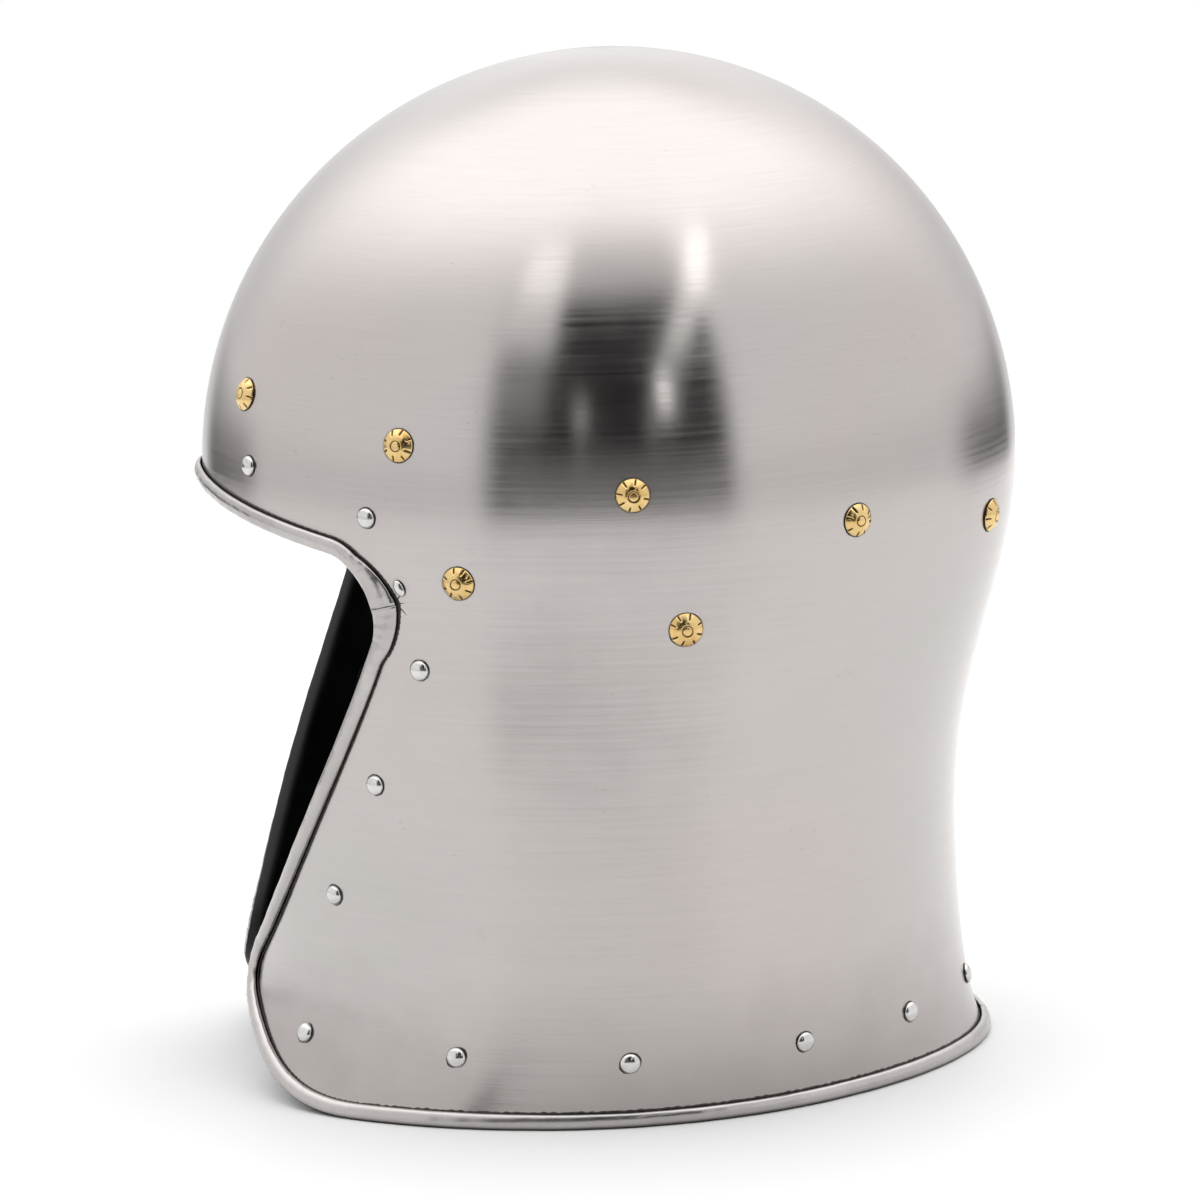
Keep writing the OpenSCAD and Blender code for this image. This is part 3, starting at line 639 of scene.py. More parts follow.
def strip_section(t):
    """The outline at t, with the hammered unevenness of hand work; t below 0 is the right side."""
    a = abs(t)
    edge, w = rim(a), inward(a)
    turn = cornering(a)
    wide = bead_width(a) / BEAD_W
    flange_w = (BROW_STRIP_W if a < CORNER_T else STRIP_W) - 6 * turn
    near = edge + BEAD_EDGE * w
    far = CHIN_MITRE if MITRE_T[0] < a < MITRE_T[1] else edge + flange_w * w
    hand = 1 + 0.035 * sin(31 * t + 1) + 0.03 * sin(83 * t) + 0.02 * sin(190 * t + 2)
    places, heights = [], []
    for s, n in OUTLINE:
        if s > BEAD_EDGE:
            places.append(near + (far - near) * (s - BEAD_EDGE) / (STRIP_W - BEAD_EDGE))
        else:
            places.append(edge + s * w * (wide if n >= LIP_GAP and s > SLOT_IN else 1))
        pinch = 1 - turn * (0.15 + 0.25 * sin(1.5 * s + 9 * (a - CORNER_T)) ** 2)
        heights.append(LIP_GAP + (n - LIP_GAP) * hand * pinch if n > LIP_GAP else n)
    points = skin(*np.array(places).T, heights)
    points[:, 2] = np.maximum(points[:, 2], 0)
    return flip(points) if t < 0 else points


def shadow_line(ts):
    """Painted shadow: a dark strip on the plate in the corner between the bead and the plate."""
    sections = []
    for t in ts:
        a = abs(t)
        edge, w = rim(a), inward(a)
        ragged = sin(330 * t) * sin(147 * t + 1) + 0.6 * sin(610 * t + 2)
        inner, outer = bead_width(a) - 0.7, bead_width(a) + 0.38 + 0.16 * ragged + 0.5 * cornering(a)
        places = np.array([edge + s * w for s in (inner, inner, outer, outer)])
        points = skin(*places.T, [-0.02, 0.10, 0.015, -0.02])
        sections.append(flip(points) if t < 0 else points)
    return loft(sections)


def mm_per_degree(f, z):
    return np.linalg.norm(wall(f + 0.5, z) - wall(f - 0.5, z))


def corner_cracks():
    """Creases that run from the temple corner into the plate, where the strips were hammered down; each is a
    thin dark strip of painted shade in the crease.
    """
    parts = []
    for along, first, heading, long, wide in ((0.0, 8.0, -38, 4.6, 0.5), (0.9, 7.4, 62, 5.5, 0.75),
                                              (-1.2, 6.6, -80, 5.0, 0.55), (0.3, 8.6, 20, 2.6, 0.4)):
        f, z = rim(CORNER_T + along / CORNER_RUN) + first * inward(CORNER_T)
        per_f = mm_per_degree(f, z)
        c, s = cos(radians(heading)), sin(radians(heading))
        sections = []
        for u in np.linspace(0, 1, 10):
            half = wide / 2 * (1 - u) ** 0.7 + 0.02
            bend = 0.35 * sin(3.4 * u + along)
            across = np.array([-half, -half * 0.4, half * 0.4, half]) + bend
            places_f = f + (c * long * u - s * across) / per_f
            places_z = z + s * long * u + c * across
            top = skin(places_f, places_z, [0.01, 0.07, 0.07, 0.01])
            under = skin(places_f[::-1], places_z[::-1], np.full(4, -0.03))
            sections.append(np.concatenate([top, under]))
        parts.append(loft(sections))
    return parts


def stations(*legs):
    """Values of t, each leg (start, end, steps) joined to the next."""
    return np.concatenate([np.linspace(a, b, n + 1)[:-1] for a, b, n in legs] + [[legs[-1][1]]])


def trim_pieces():
    cut = TEMPLE_GAP / 2 / CORNER_RUN
    nape = 6 - SEAM_GAP / 2 / HEM_RUN / (180 - SWEEP_END_F)
    a, b, c, d = (t + step for t in MITRE_T for step in (-TINY_T, TINY_T))
    brow_t = stations((cut - CORNER_T, -1, 34), (-1, 1, 180), (1, CORNER_T - cut, 34))
    side_t = stations((CORNER_T + cut, 2, 20), (2, a, 76), (a, b, 1), (b, 3, 10), (3, 4, 46), (4, c, 10),
                      (c, d, 1), (d, 5, 44), (5, nape, 170))
    brow_part, side_part = (loft([strip_section(t) for t in ts]) for ts in (brow_t, side_t))
    for node, part in (("brow_trim", brow_part), ("left_side_trim", side_part),
                       ("right_side_trim", mirrored(side_part))):
        kinds = BLACKENED_AND_SHADE * (len(part[0]) // len(OUTLINE) - 1) + [0, 0]
        mesh_piece(f"{node}_strip", part, [TRIM_STEEL, INSIDE_STEEL], [node],
                   face_material=kinds)
    # Painted shadow along the trims and painted shade in the temple creases
    left = shadow_line(stations((CORNER_T, 3, 320), (3, 4, 70), (4, 5, 140), (5, 6, 560)))
    across = shadow_line(stations((-CORNER_T, CORNER_T, 520)))
    cracks = corner_cracks()
    parts = [across] + both_sides(left) + cracks + [mirrored(c) for c in cracks]
    mesh_piece("seam_shadow_lines", join(parts), [SEAM_SHADOW])


trim_pieces()


# ---- fasteners

RIVET_D, ROSETTE_D, SHANK_D = 6.0, 10.0, 3.0
TRIM_GRIP, LINING_GRIP = 3.8, 4.8
ROVE_T, HEAD_LIFT = 0.8, 0.12
BAND_H, BAND_FALL, BAND_W = 185.2, 0.205, 20.0
NICKS = 8


def band_z(f):
    """Height of the line of rosettes, which drops toward the nape."""
    f = floats(f)
    z = np.full(f.shape, 185.0)
    for _ in range(6):
        z = BAND_H - BAND_FALL * (wall(f, z)[..., 1] - CENTRE_Y)
    return z


TEMPLE_SPOTS = [(55.9, 157.6)]
BROW_SPOTS = [(26, 187.7), (51, 177.5)]
CHEEK_SPOTS = [(58.6, 133.8), (49.6, 98.5), (38.6, 63)]
HEM_SPOTS = [(34.1, 20.2), (64.3, 20), (91.2, 19), (119.9, 19), (144.5, 18.8), (171.5, 18.6)]
LINING_SPOTS = [(f, float(band_z(f))) for f in (22.6, 56.3, 90.0, 123.7, 157.4)]
STRAP_SPOTS = [(65.3, 160), (97.5, 145.7)]


def at_wall(points, spot, spin=0.0):
    """Carries points from round the origin to a spot on the plate, +Z pointing straight out."""
    n = out(*spot)
    x = unit(np.cross([0, 0, 1.0], n))
    c, s = cos(spin), sin(spin)
    p = floats(points)
    turned = np.stack([c * p[:, 0] - s * p[:, 1], s * p[:, 0] + c * p[:, 1], p[:, 2]], -1)
    return wall(*spot) + turned @ np.array([x, np.cross(n, x), n])


def lathe(profile, steps=40):
    """Turns (radius, height) points, from the axis round to the axis, about Z."""
    inner = profile[1:-1]
    points = [(0, 0, profile[0][1])]
    points += [(r * cos(a), r * sin(a), h) for r, h in inner for a in around(steps)]
    points.append((0, 0, profile[-1][1]))
    faces = grid_faces(len(inner), steps, wrap_cols=True, start=1)
    end = 1 + (len(inner) - 1) * steps
    faces += [(0, 1 + (i + 1) % steps, 1 + i) for i in range(steps)]
    faces += [(end + i, end + (i + 1) % steps, len(points) - 1) for i in range(steps)]
    return np.array(points, float), faces


def shank(grip, *peened):
    """Profile from the tail to the head; peened gives parts of SHANK_D and how far past the rove."""
    tail = grip + ROVE_T + 0.1
    return [(SHANK_D * part, -tail - past) for part, past in ((0, 1), *peened, (0.75, 0))] + [
        (SHANK_D / 2, -tail), (SHANK_D / 2, HEAD_LIFT)]


def rivet_profile(width, rise, head=10):
    profile = shank(TRIM_GRIP, (0.3, 0.98), (0.55, 0.8), (0.72, 0.45))
    profile += [(width / 2 - 0.1, HEAD_LIFT), (width / 2, HEAD_LIFT + 0.08)]
    profile += [(width / 2 * cos(a), HEAD_LIFT + 0.25 + (rise - 0.25) * sin(a))
                for a in np.linspace(0, pi / 2, head)[:-1]]
    return profile + [(0, HEAD_LIFT + rise)]


def shade_ring(spot, inner, outer, seed, steps=28):
    """Thin dark ring of painted shade on the plate round a head."""
    f, z = spot
    per_f = mm_per_degree(f, z)
    per_z = np.linalg.norm(wall(f, z + 0.5) - wall(f, z - 0.5))
    ragged = outer + np.random.default_rng(seed).uniform(-0.08, 0.10, steps)
    sections = []
    for a, r in zip(around(steps), ragged):
        radii = np.array([inner, inner, r, r])
        sections.append(skin(f + radii * cos(a) / per_f, z + radii * sin(a) / per_z,
                             [-0.02, 0.05, 0.012, -0.02]))
    return loft(sections, closed=True)


def shade_rings():
    parts = []
    small = BROW_SPOTS + CHEEK_SPOTS + HEM_SPOTS
    for i, spot in enumerate(small + LINING_SPOTS + STRAP_SPOTS):
        radius = (RIVET_D if i < len(small) else 0.965 * ROSETTE_D) / 2
        parts += both_sides(shade_ring(spot, radius - 0.5, radius + 0.22, i))
    mesh_piece("head_shade_rings", join(parts), [SEAM_SHADOW])


def rivet_group(node, spots, sides, seed, width=RIVET_D, rise=1.8, squeeze=(1, 1), spin=0.0):
    """Domed rivets, each a little different, at every spot on each side (1 left, -1 right)."""
    rng = np.random.default_rng(seed)
    parts = []
    for side in sides:
        for spot in spots:
            wide, high = width * rng.uniform(0.97, 1.0), rise * rng.uniform(0.9, 1.0)
            points, faces = lathe(rivet_profile(wide, high))
            lean = rng.uniform(-0.06, 0.06, 2)
            head = points[:, 2] > HEAD_LIFT + 0.3
            points[head, :2] += lean * points[head, 2:]
            points[points[:, 2] > HEAD_LIFT - 0.01, :2] *= squeeze
            part = (at_wall(points, spot, spin), faces)
            parts.append(part if side > 0 else mirrored(part))
    mesh_piece(f"{node[:-1]}_heads", join(parts), [RIVET_STEEL], [node])


def rosette(rng, rings=22, steps=96):
    """Low dome with a ring cut round its middle and hand-cut nicks in its rim."""
    radius = ROSETTE_D / 2 * rng.uniform(0.95, 0.98)
    rise = 2.4 * rng.uniform(0.94, 1.0)
    nicks = np.radians(np.arange(NICKS) * 360 / NICKS + rng.uniform(-5, 5, NICKS))
    starts = rng.uniform(0.55, 0.68, NICKS)
    centre = rng.uniform(-0.2, 0.2, 2)
    under = shank(LINING_GRIP, (0.35, 0.95), (0.75, 0.4))
    under += [(radius - 0.15, HEAD_LIFT), (radius, HEAD_LIFT + 0.12)]
    dome = [(radius * r, HEAD_LIFT + 0.3 + (rise - 0.3) * (1 - r ** 2.2))
            for r in np.linspace(1, 0, rings)[:-1]]
    points, faces = lathe(under + dome + [(0, HEAD_LIFT + rise)], steps)
    top = np.arange(1 + len(under) * steps, len(points))
    x, y = points[top, 0], points[top, 1]
    r, a = np.hypot(x, y) / radius, np.arctan2(y, x)
    deep = np.zeros(len(top))
    for nick, start in zip(nicks, starts):
        away = np.abs((a - nick + pi) % (2 * pi) - pi) * np.maximum(r, 0.05) * radius
        deep = np.maximum(deep, np.clip(1 - away / 0.36, 0, 1) * np.clip((r - start) / 0.12, 0, 1))
    from_ring = np.abs(np.hypot(x - centre[0], y - centre[1]) - 0.31 * radius)
    deep = np.maximum(deep, 0.8 * np.clip(1 - from_ring / 0.26, 0, 1))
    points[top, 2] -= 0.5 * deep
    cut = np.zeros(len(points))
    cut[top] = np.maximum(deep, 0.6 * np.clip((r - 0.93) / 0.07, 0, 1))
    return points, faces, cut


def rosette_group(node, spots, seed):
    rng = np.random.default_rng(seed)
    parts, cuts = [], []
    for side in (1, -1):
        for spot in spots:
            points, faces, cut = rosette(rng)
            part = (at_wall(points, spot, rng.uniform(0, 2 * pi)), faces)
            parts.append(part if side > 0 else mirrored(part))
            cuts.append(cut)
    mesh_piece(f"{node[:-1]}_heads", join(parts), [ROSETTE_BRASS], [node],
               attributes={"cut": np.concatenate(cuts)})


rivet_group("brow_rivets", BROW_SPOTS, (1, -1), 3)
rivet_group("temple_rivets", TEMPLE_SPOTS, (1, -1), 4, RIVET_D - 1, 1.2, (0.62, 1.0), 0.5)
rivet_group("left_cheek_rivets", CHEEK_SPOTS, (1,), 5)
rivet_group("right_cheek_rivets", CHEEK_SPOTS, (-1,), 6)
rivet_group("hem_rivets", HEM_SPOTS, (1, -1), 7)
rosette_group("lining_rosettes", LINING_SPOTS, 11)
rosette_group("strap_rosettes", STRAP_SPOTS, 12)
shade_rings()
for rove_node in ("brow_roves", "temple_roves", "cheek_roves", "hem_roves", "lining_roves", "strap_roves"):
    rove_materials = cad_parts[rove_node].data.materials
    rove_materials.clear()
    rove_materials.append(ROVE_STEEL)


# ---- lining

LEATHER_T, CORD_D = 2.0, 3.0
LEATHER_OUT = -PLATE_T - 0.6
LEATHER_IN = LEATHER_OUT - LEATHER_T


def rounded(half_w, half_t, r, steps=4):
    """Rectangle with its corners rounded by r."""
    return [(x * (half_w - r) + r * cos(b), y * (half_t - r) + r * sin(b))
            for x, y, a in ((1, 1, 0), (-1, 1, 90), (-1, -1, 180), (1, -1, 270))
            for b in np.radians(np.linspace(a, a + 90, steps))]


def headings(line, closed=False):
    """Unit direction of travel at each point of a line."""
    line = floats(line)
    ahead, behind = np.roll(line, -1, 0), np.roll(line, 1, 0)
    if not closed:
        ahead[-1], behind[0] = line[-1], line[0]
    return unit(ahead - behind)


def frame_along(line, faces_to, closed=False):
    """Unit across and facing directions for each point of a line, given roughly where it faces."""
    along = headings(line, closed)
    across = unit(np.cross(np.broadcast_to(faces_to, along.shape), along))
    return across, np.cross(along, across)


def ribbon(line, section, faces_to, closed=False, widths=None):
    """Sweeps a section (across, up) along a line; widths scales the across part point by point."""
    across, up = frame_along(line, faces_to, closed)
    section = floats(section)
    widths = np.ones(len(line)) if widths is None else widths
    rings = [p + np.outer(section[:, 0] * w, a) + np.outer(section[:, 1], u)
             for p, a, u, w in zip(floats(line), across, up, widths)]
    return loft(rings, closed=closed)


def stitch(a, b, lift, sunk, width=0.85, sides=6):
    """One stitch from a to b, its ends in the leather and all of it sunk; lift points away from it."""
    side = np.cross(lift, unit(b - a))
    rings = []
    for u, rise, size in ((-0.02, -0.35, 0.6), (0.1, 0.1, 1), (0.5, 0.28, 1.1), (0.9, 0.1, 1),
                          (1.02, -0.35, 0.6)):
        middle = a + (b - a) * u + lift * (rise - sunk)
        rings.append([middle + width / 2 * size * (side * cos(t) + lift * 0.7 * sin(t))
                      for t in around(sides)])
    return loft(rings)


def stitch_row(points, lifts, pitch=4.6, gap=1.5, sunk=0.0):
    """Stitches along a run of points on a surface whose outward directions are lifts."""
    points, lifts = floats(points), floats(lifts)
    run = np.concatenate([[0], np.cumsum(np.linalg.norm(np.diff(points, axis=0), axis=1))])
    count = max(1, int(run[-1] / pitch))
    pitch = run[-1] / count

    def at(d, values):
        return np.array([np.interp(d, run, values[:, k]) for k in range(3)])

    parts = []
    for i in range(count):
        first, last = i * pitch + gap / 2, (i + 1) * pitch - gap / 2
        parts.append(stitch(at(first, points), at(last, points), unit(at(first, lifts)), sunk))
    return parts


def on_head(f, z_of, value, *more):
    """value(angle, height, ...) for any angle f, flipped on the right side of the head."""
    f = (f + 360) % 360
    a = 360 - f if f > 180 else f
    found = value(a, z_of(a), *more)
    return flip(found) if f > 180 else found


def lining_point(f, z_of, n):
    return on_head(f, z_of, skin, n)


def lining_out(f, z_of):
    return on_head(f, z_of, out)


def band_pieces():
    """The band that the ring of rosettes holds, with two rows of stitches."""
    section = rounded(BAND_W / 2, LEATHER_T / 2, 0.7)
    middle = (LEATHER_OUT + LEATHER_IN) / 2
    rings = [[lining_point(f, lambda a: band_z(a) + w, middle + t * 0.98) for w, t in section]
             for f in np.linspace(0, 360, 200, False)]
    mesh_piece("lining_band_leather", loft(rings, closed=True), [BAND_LEATHER],
               ["lining_band"])
    parts = []
    for rise in (-7.6, 2.6):
        ring_f = np.linspace(0, 360, 361)
        run = [lining_point(f, lambda a: band_z(a) + rise, LEATHER_IN) for f in ring_f]
        parts += stitch_row(run, [-lining_out(f, lambda a: band_z(a) + rise) for f in ring_f])
    mesh_piece("lining_band_stitches", join(parts), [WAXED])


LOBES = 8
LOBE_HALF = 180 / LOBES - 1.4          # half the angle a lobe spans at the band
LOBE_FOOT = 5.5                        # millimetres above the line of rosettes
LOBE_TOP = 66                          # degrees above the equator
HEM_V, HEM_U, FOOT_U = 0.84, 0.93, 0.05    # lines of stitches, as parts of half-width and of length


def lobe_drop(u):
    """How far the lobe hangs inside the plate at u, 0 at the band and 1 at the tip."""
    return LEATHER_IN - 0.6 - 17 * sin(pi / 2 * u) ** 1.3


def lobe_span(u):
    return LOBE_HALF * (1 if u < 0.6 else 1 - 0.75 * ((u - 0.6) / 0.4) ** 2)


def lobe_height(a, u):
    low = up_angle(band_z(a) + LOBE_FOOT)
    return height(low + (LOBE_TOP - low) * u)


def lobe_piece(index, rows=30, cols=20):
    """One soft leather lobe: pillowed between its seams, with a hem stitched round it."""
    middle = (index + 0.5) * 360 / LOBES
    phase = np.random.default_rng(40 + index).uniform(0, 6, 4)

    def puff(u, v):
        pillow = (1 - v ** 4) * sin(pi * min(1, u * 1.02)) ** 0.7
        crease = sin(5 * u + 3 * v + phase[0]) + 0.6 * sin(9 * v - 4 * u + phase[1])
        return LEATHER_T + pillow * (0.55 + 0.14 * crease)

    def place(u, v, depth):
        return lining_point(middle + lobe_span(u) * v, lambda a: lobe_height(a, u), lobe_drop(u) - depth)

    rings = []
    for u in np.linspace(0, 1, rows + 1):
        across = np.linspace(-1, 1, cols + 1)
        edge = [abs(v) == 1 or u in (0, 1) for v in across]
        front = [place(u, v, 0.55 if e else 0.0) for v, e in zip(across, edge)]
        back = [place(u, v, LEATHER_T - 0.55 if e else puff(u, v)) for v, e in zip(across, edge)]
        rings.append(front + back[::-1])
    name = f"lobe_{index + 1}"
    mesh_piece(f"{name}_leather", loft(rings), [LOBE_LEATHER], [name])
    hem = [(u, -HEM_V) for u in np.linspace(0.06, HEM_U, 24)]
    hem += [(HEM_U, v) for v in np.linspace(-0.7, 0.7, 6)]
    hem += [(u, HEM_V) for u in np.linspace(HEM_U, 0.06, 24)]
    lifts = [-lining_out(middle + lobe_span(u) * v, lambda a: lobe_height(a, u)) for u, v in hem]
    foot = [(FOOT_U, v) for v in np.linspace(-HEM_V, HEM_V, 12)]
    parts = []
    for path, path_lifts in ((hem, lifts), (foot, [lifts[0]] * len(foot))):
        parts += stitch_row([place(u, v, puff(u, v)) for u, v in path], path_lifts, 4.8)
    mesh_piece(f"{name}_stitches", join(parts), [WAXED])


CORD_DROP = lobe_drop(1) - LEATHER_T - CORD_D / 2 - 0.4
CORD_Z = height(LOBE_TOP - 3)


def cord_point(f):
    return lining_point(f, lambda a: CORD_Z, CORD_DROP)


def cord_pieces(steps=560, twists=46, sides=9, plies=3):
    """Laid cord in an endless ring, whipped to each lobe's tip with two turns of thread on each side."""
    level, up = np.array([1.0, 1.0, 0.0]), np.array([0, 0, 1.0])
    ply = CORD_D / 2 / (1 + 2 / sqrt(3))
    angles = np.linspace(0, 360, steps, False)
    centres = np.array([cord_point(f) for f in angles])
    parts = []
    for k in range(plies):
        rings = []
        for f, c, d in zip(angles, centres, unit(centres * level)):
            a = radians(f) * twists + k * 2 * pi / plies
            heart = c + (CORD_D / 2 - ply) * (d * cos(a) + up * sin(a))
            rings.append([heart + ply * 1.06 * (d * cos(b) + up * sin(b)) for b in around(sides)])
        parts.append(loft(rings, closed=True))
    mesh_piece("lobe_cord_plies", join(parts), [LINEN], ["lobe_cord"])
    loops = []
    for index in range(LOBES):
        for shift in (-3.6, -2.2, 2.2, 3.6):
            f = (index + 0.5) * 360 / LOBES + shift
            c = cord_point(f)
            lift = lining_out(f, lambda a: CORD_Z)
            side = unit(np.cross(lift, cord_point(f + 1) - cord_point(f - 1)))
            loop = [c + lift * (2.1 * cos(a) + 0.6) + side * 1.85 * sin(a) for a in around(20)]
            loops.append(ribbon(loop, rounded(0.34, 0.3, 0.26, 3), np.cross(side, lift), closed=True))
    mesh_piece("lobe_cord_whipping", join(loops), [WAXED])


band_pieces()
for lobe_index in range(LOBES):
    lobe_piece(lobe_index)
cord_pieces()


# ---- chin strap

SWIVEL_Y, SWIVEL_Z = -17.0, 104.0
LAYER = LEATHER_T + 0.3
REAR_LEG_X = 92.0
FRONT_LEG_X = REAR_LEG_X - LAYER
STRAP_X, STRAP_W = FRONT_LEG_X - LAYER, 16.0
LEFT_LEN, RIGHT_LEN = 62.0, 66.0
BAR_R = 1.3
LOOP_R = BAR_R + 0.08
BAR_X, BAR_Z = STRAP_X - LEATHER_T / 2 - LOOP_R, SWIVEL_Z - LEFT_LEN
FOLD_UP = 20.0               # turned-up end of the left strap above the bar
STITCH_Z = BAR_Z + 14
HOLE_R = SHANK_D / 2 + 0.08
FRAME_W, FRAME_H = 22.0, 20.0
PRONG_R, PRONG_PAST = 1.0, 2.4
CURL_R, TIP_LEN = 14.0, 12.0
KEEPER_SINK = 0.5            # keeps the left strap's stitches clear of the sliding keeper
AWAY = np.array([1.0, 0.0, 0.0])       # from the wearer, on the left side


def edge_stitches(line, faces_to, half_w, sunk=0.0, first=0, last=None):
    """Two rows of stitches along a strap, on the face that looks toward faces_to."""
    across, up = frame_along(line, faces_to)
    parts = []
    for side in (-1, 1):
        run = np.asarray(line) + across * side * (half_w - 2.0) + up * (LEATHER_T / 2)
        parts += stitch_row(run[first:last], up[first:last], 4.2, 1.3, sunk)
    return parts


def leg_pieces(name, spot, x, left):
    """Strap that leaves the wall under a rosette and hangs down to the swivel rivet."""
    n0 = out(*spot)
    hole = wall(*spot) + (LEATHER_OUT - 0.3 - LEATHER_T / 2) * n0
    foot = np.array([x, SWIVEL_Y, SWIVEL_Z])
    drop = unit(np.array([0, hole[1] - foot[1], hole[2] - foot[2]]))
    flat = unit((foot - hole) - ((foot - hole) @ n0) * n0)
    a = hole + 6 * flat
    corners = [a, a + 14 * flat, foot + 20 * drop, foot]
    steps = np.linspace(0, 1, 30)
    head = [hole - d * flat for d in (7.6, 7.2, 6.2, 4.5, 2.5, 0, -3)]
    tail = [foot - d * drop for d in (2, 4, 6, 7.2, 7.9, 8.2)]
    line = np.array(head + [bezier(corners, t) for t in steps] + tail)
    turn = np.concatenate([np.zeros(len(head)), np.minimum(1, 8 * steps / 7), np.ones(len(tail))])[:, None]
    facing = unit(n0 * (1 - turn) + AWAY * turn)
    half_w = (STRAP_W - 2) / 2 - 0.1
    widths = np.ones(len(line))
    widths[:4] = (0.45, 0.62, 0.82, 0.95)
    widths[-5:] = (0.95, 0.85, 0.65, 0.42, 0.2)
    part = ribbon(line, rounded(half_w, LEATHER_T / 2, 0.6), facing, widths=widths)
    stitches = join(edge_stitches(line, -facing, half_w, first=8, last=len(line) - 9))
    for kind, made, material in (("leather", part, STRAP_LEATHER), ("stitches", stitches, WAXED)):
        mesh_piece(f"{name}_{kind}", made if left else mirrored(made), [material],
                   [name] if kind == "leather" else ())


def placed(part, x_axis, y_axis, z_axis, origin):
    """A part carried to new axes."""
    points, faces = part
    return np.asarray(points) @ np.array([x_axis, y_axis, z_axis], float) + floats(origin), faces


def strap_path(points):
    """Points in the strap's own plane (x, z) placed at the strap's y."""
    return np.array([(x, SWIVEL_Y, z) for x, z in points])


def arc(x, z, r, start, end, steps):
    return [(x + r * cos(a), z + r * sin(a)) for a in np.radians(np.linspace(start, end, steps))]


def box(centre, size):
    c, s = floats(centre), floats(size) / 2
    ring = [(-1, -1), (1, -1), (1, 1), (-1, 1)]
    return loft([[c + s * np.array([x, y, z]) for x, y in ring] for z in (-1, 1)])


def hole_through(z, r, steps=28):
    """Cylinder that cuts a hole through the strap."""
    tube = loft([[(r * cos(a), r * sin(a), depth) for a in around(steps)] for depth in (-4, 4)])
    return placed(tube, (0, 1, 0), (0, 0, 1), (1, 0, 0), (STRAP_X, SWIVEL_Y, z))


def strap_rivet(centre, profile):
    """A turned rivet whose head looks toward the wearer."""
    return placed(lathe(profile, 44), (0, 1, 0), (0, 0, -1), (-1, 0, 0), centre)


def hanging(foot_z):
    """Path of a strap from its rounded top, over the swivel rivet, straight down to foot_z."""
    top = SWIVEL_Z + 9 - np.array([0, 0.4, 1.4, 3.2, 5.5])
    return [(STRAP_X, z) for z in np.concatenate([top, np.linspace(96, foot_z + 1, 26)])]


def strap_ribbon(line, end_widths):
    """Leather strap along a path in its own plane; end_widths are its last widths, as parts of STRAP_W."""
    along = headings(line)
    facing = np.stack([-along[:, 2], np.zeros(len(line)), along[:, 0]], -1)
    widths = np.ones(len(line))
    widths[:4] = (0.5, 0.72, 0.88, 0.97)
    widths[-len(end_widths):] = end_widths
    return ribbon(line, rounded(STRAP_W / 2, LEATHER_T / 2, 0.6), facing, widths=widths)


def left_strap_pieces():
    """Strap folded round the buckle's bar, its turned-up end closed by a rivet."""
    inner_r = LOOP_R + LEATHER_T / 2
    fold_x = STRAP_X - LEATHER_T - 0.15
    low_x, rise = BAR_X - inner_r, 8
    ease = [(low_x + (fold_x - low_x) * (1 - cos(pi * u)) / 2, BAR_Z + rise * u)
            for u in np.linspace(0, 1, 9)[1:]]
    up = [(fold_x, z) for z in np.concatenate([np.linspace(BAR_Z + rise + 1, BAR_Z + FOLD_UP - 1.5, 6),
                                               [BAR_Z + FOLD_UP - 0.4, BAR_Z + FOLD_UP]])]
    line = strap_path(hanging(BAR_Z) + arc(BAR_X, BAR_Z, inner_r, 0, -180, 22) + ease + up)
    cutter = join([box((BAR_X, SWIVEL_Y, BAR_Z - 1), (12, 4.6, 14)), hole_through(SWIVEL_Z, HOLE_R)])
    mesh_piece("left_chin_strap_leather", strap_ribbon(line, (0.98, 0.9, 0.75)), [STRAP_LEATHER],
               ["left_chin_strap"], "left_strap", cutter=cutter)
    parts = []
    for facing, low, steps in ((-AWAY, BAR_Z + FOLD_UP + 16, 12), (AWAY, BAR_Z + 4, 20)):
        straight = strap_path([(STRAP_X, z) for z in np.linspace(SWIVEL_Z - 8, low, steps)])
        parts += edge_stitches(straight, facing, STRAP_W / 2, KEEPER_SINK)
    mesh_piece("left_chin_strap_stitches", join(parts), [WAXED], body="left_strap")
    grip = 2 * LEATHER_T + 0.8
    profile = [(0, -0.45), (1.5, -0.42), (2.1, -0.25), (2.4, 0.1), (2.4, 0.5), (1, 0.5)]
    profile += [(r, grip + past) for r, past in ((1, 0.1), (2.4, 0.1), (2.4, 0.4), (2.1, 0.75), (1.2, 0.98),
                                                 (0, 1.02))]
    rivet = strap_rivet((STRAP_X + LEATHER_T / 2 + 0.6, SWIVEL_Y, STITCH_Z), profile)
    mesh_piece("strap_stitch_rivet_turned", rivet, [STRAP_BRASS], ["strap_stitch_rivet"],
               "left_strap")


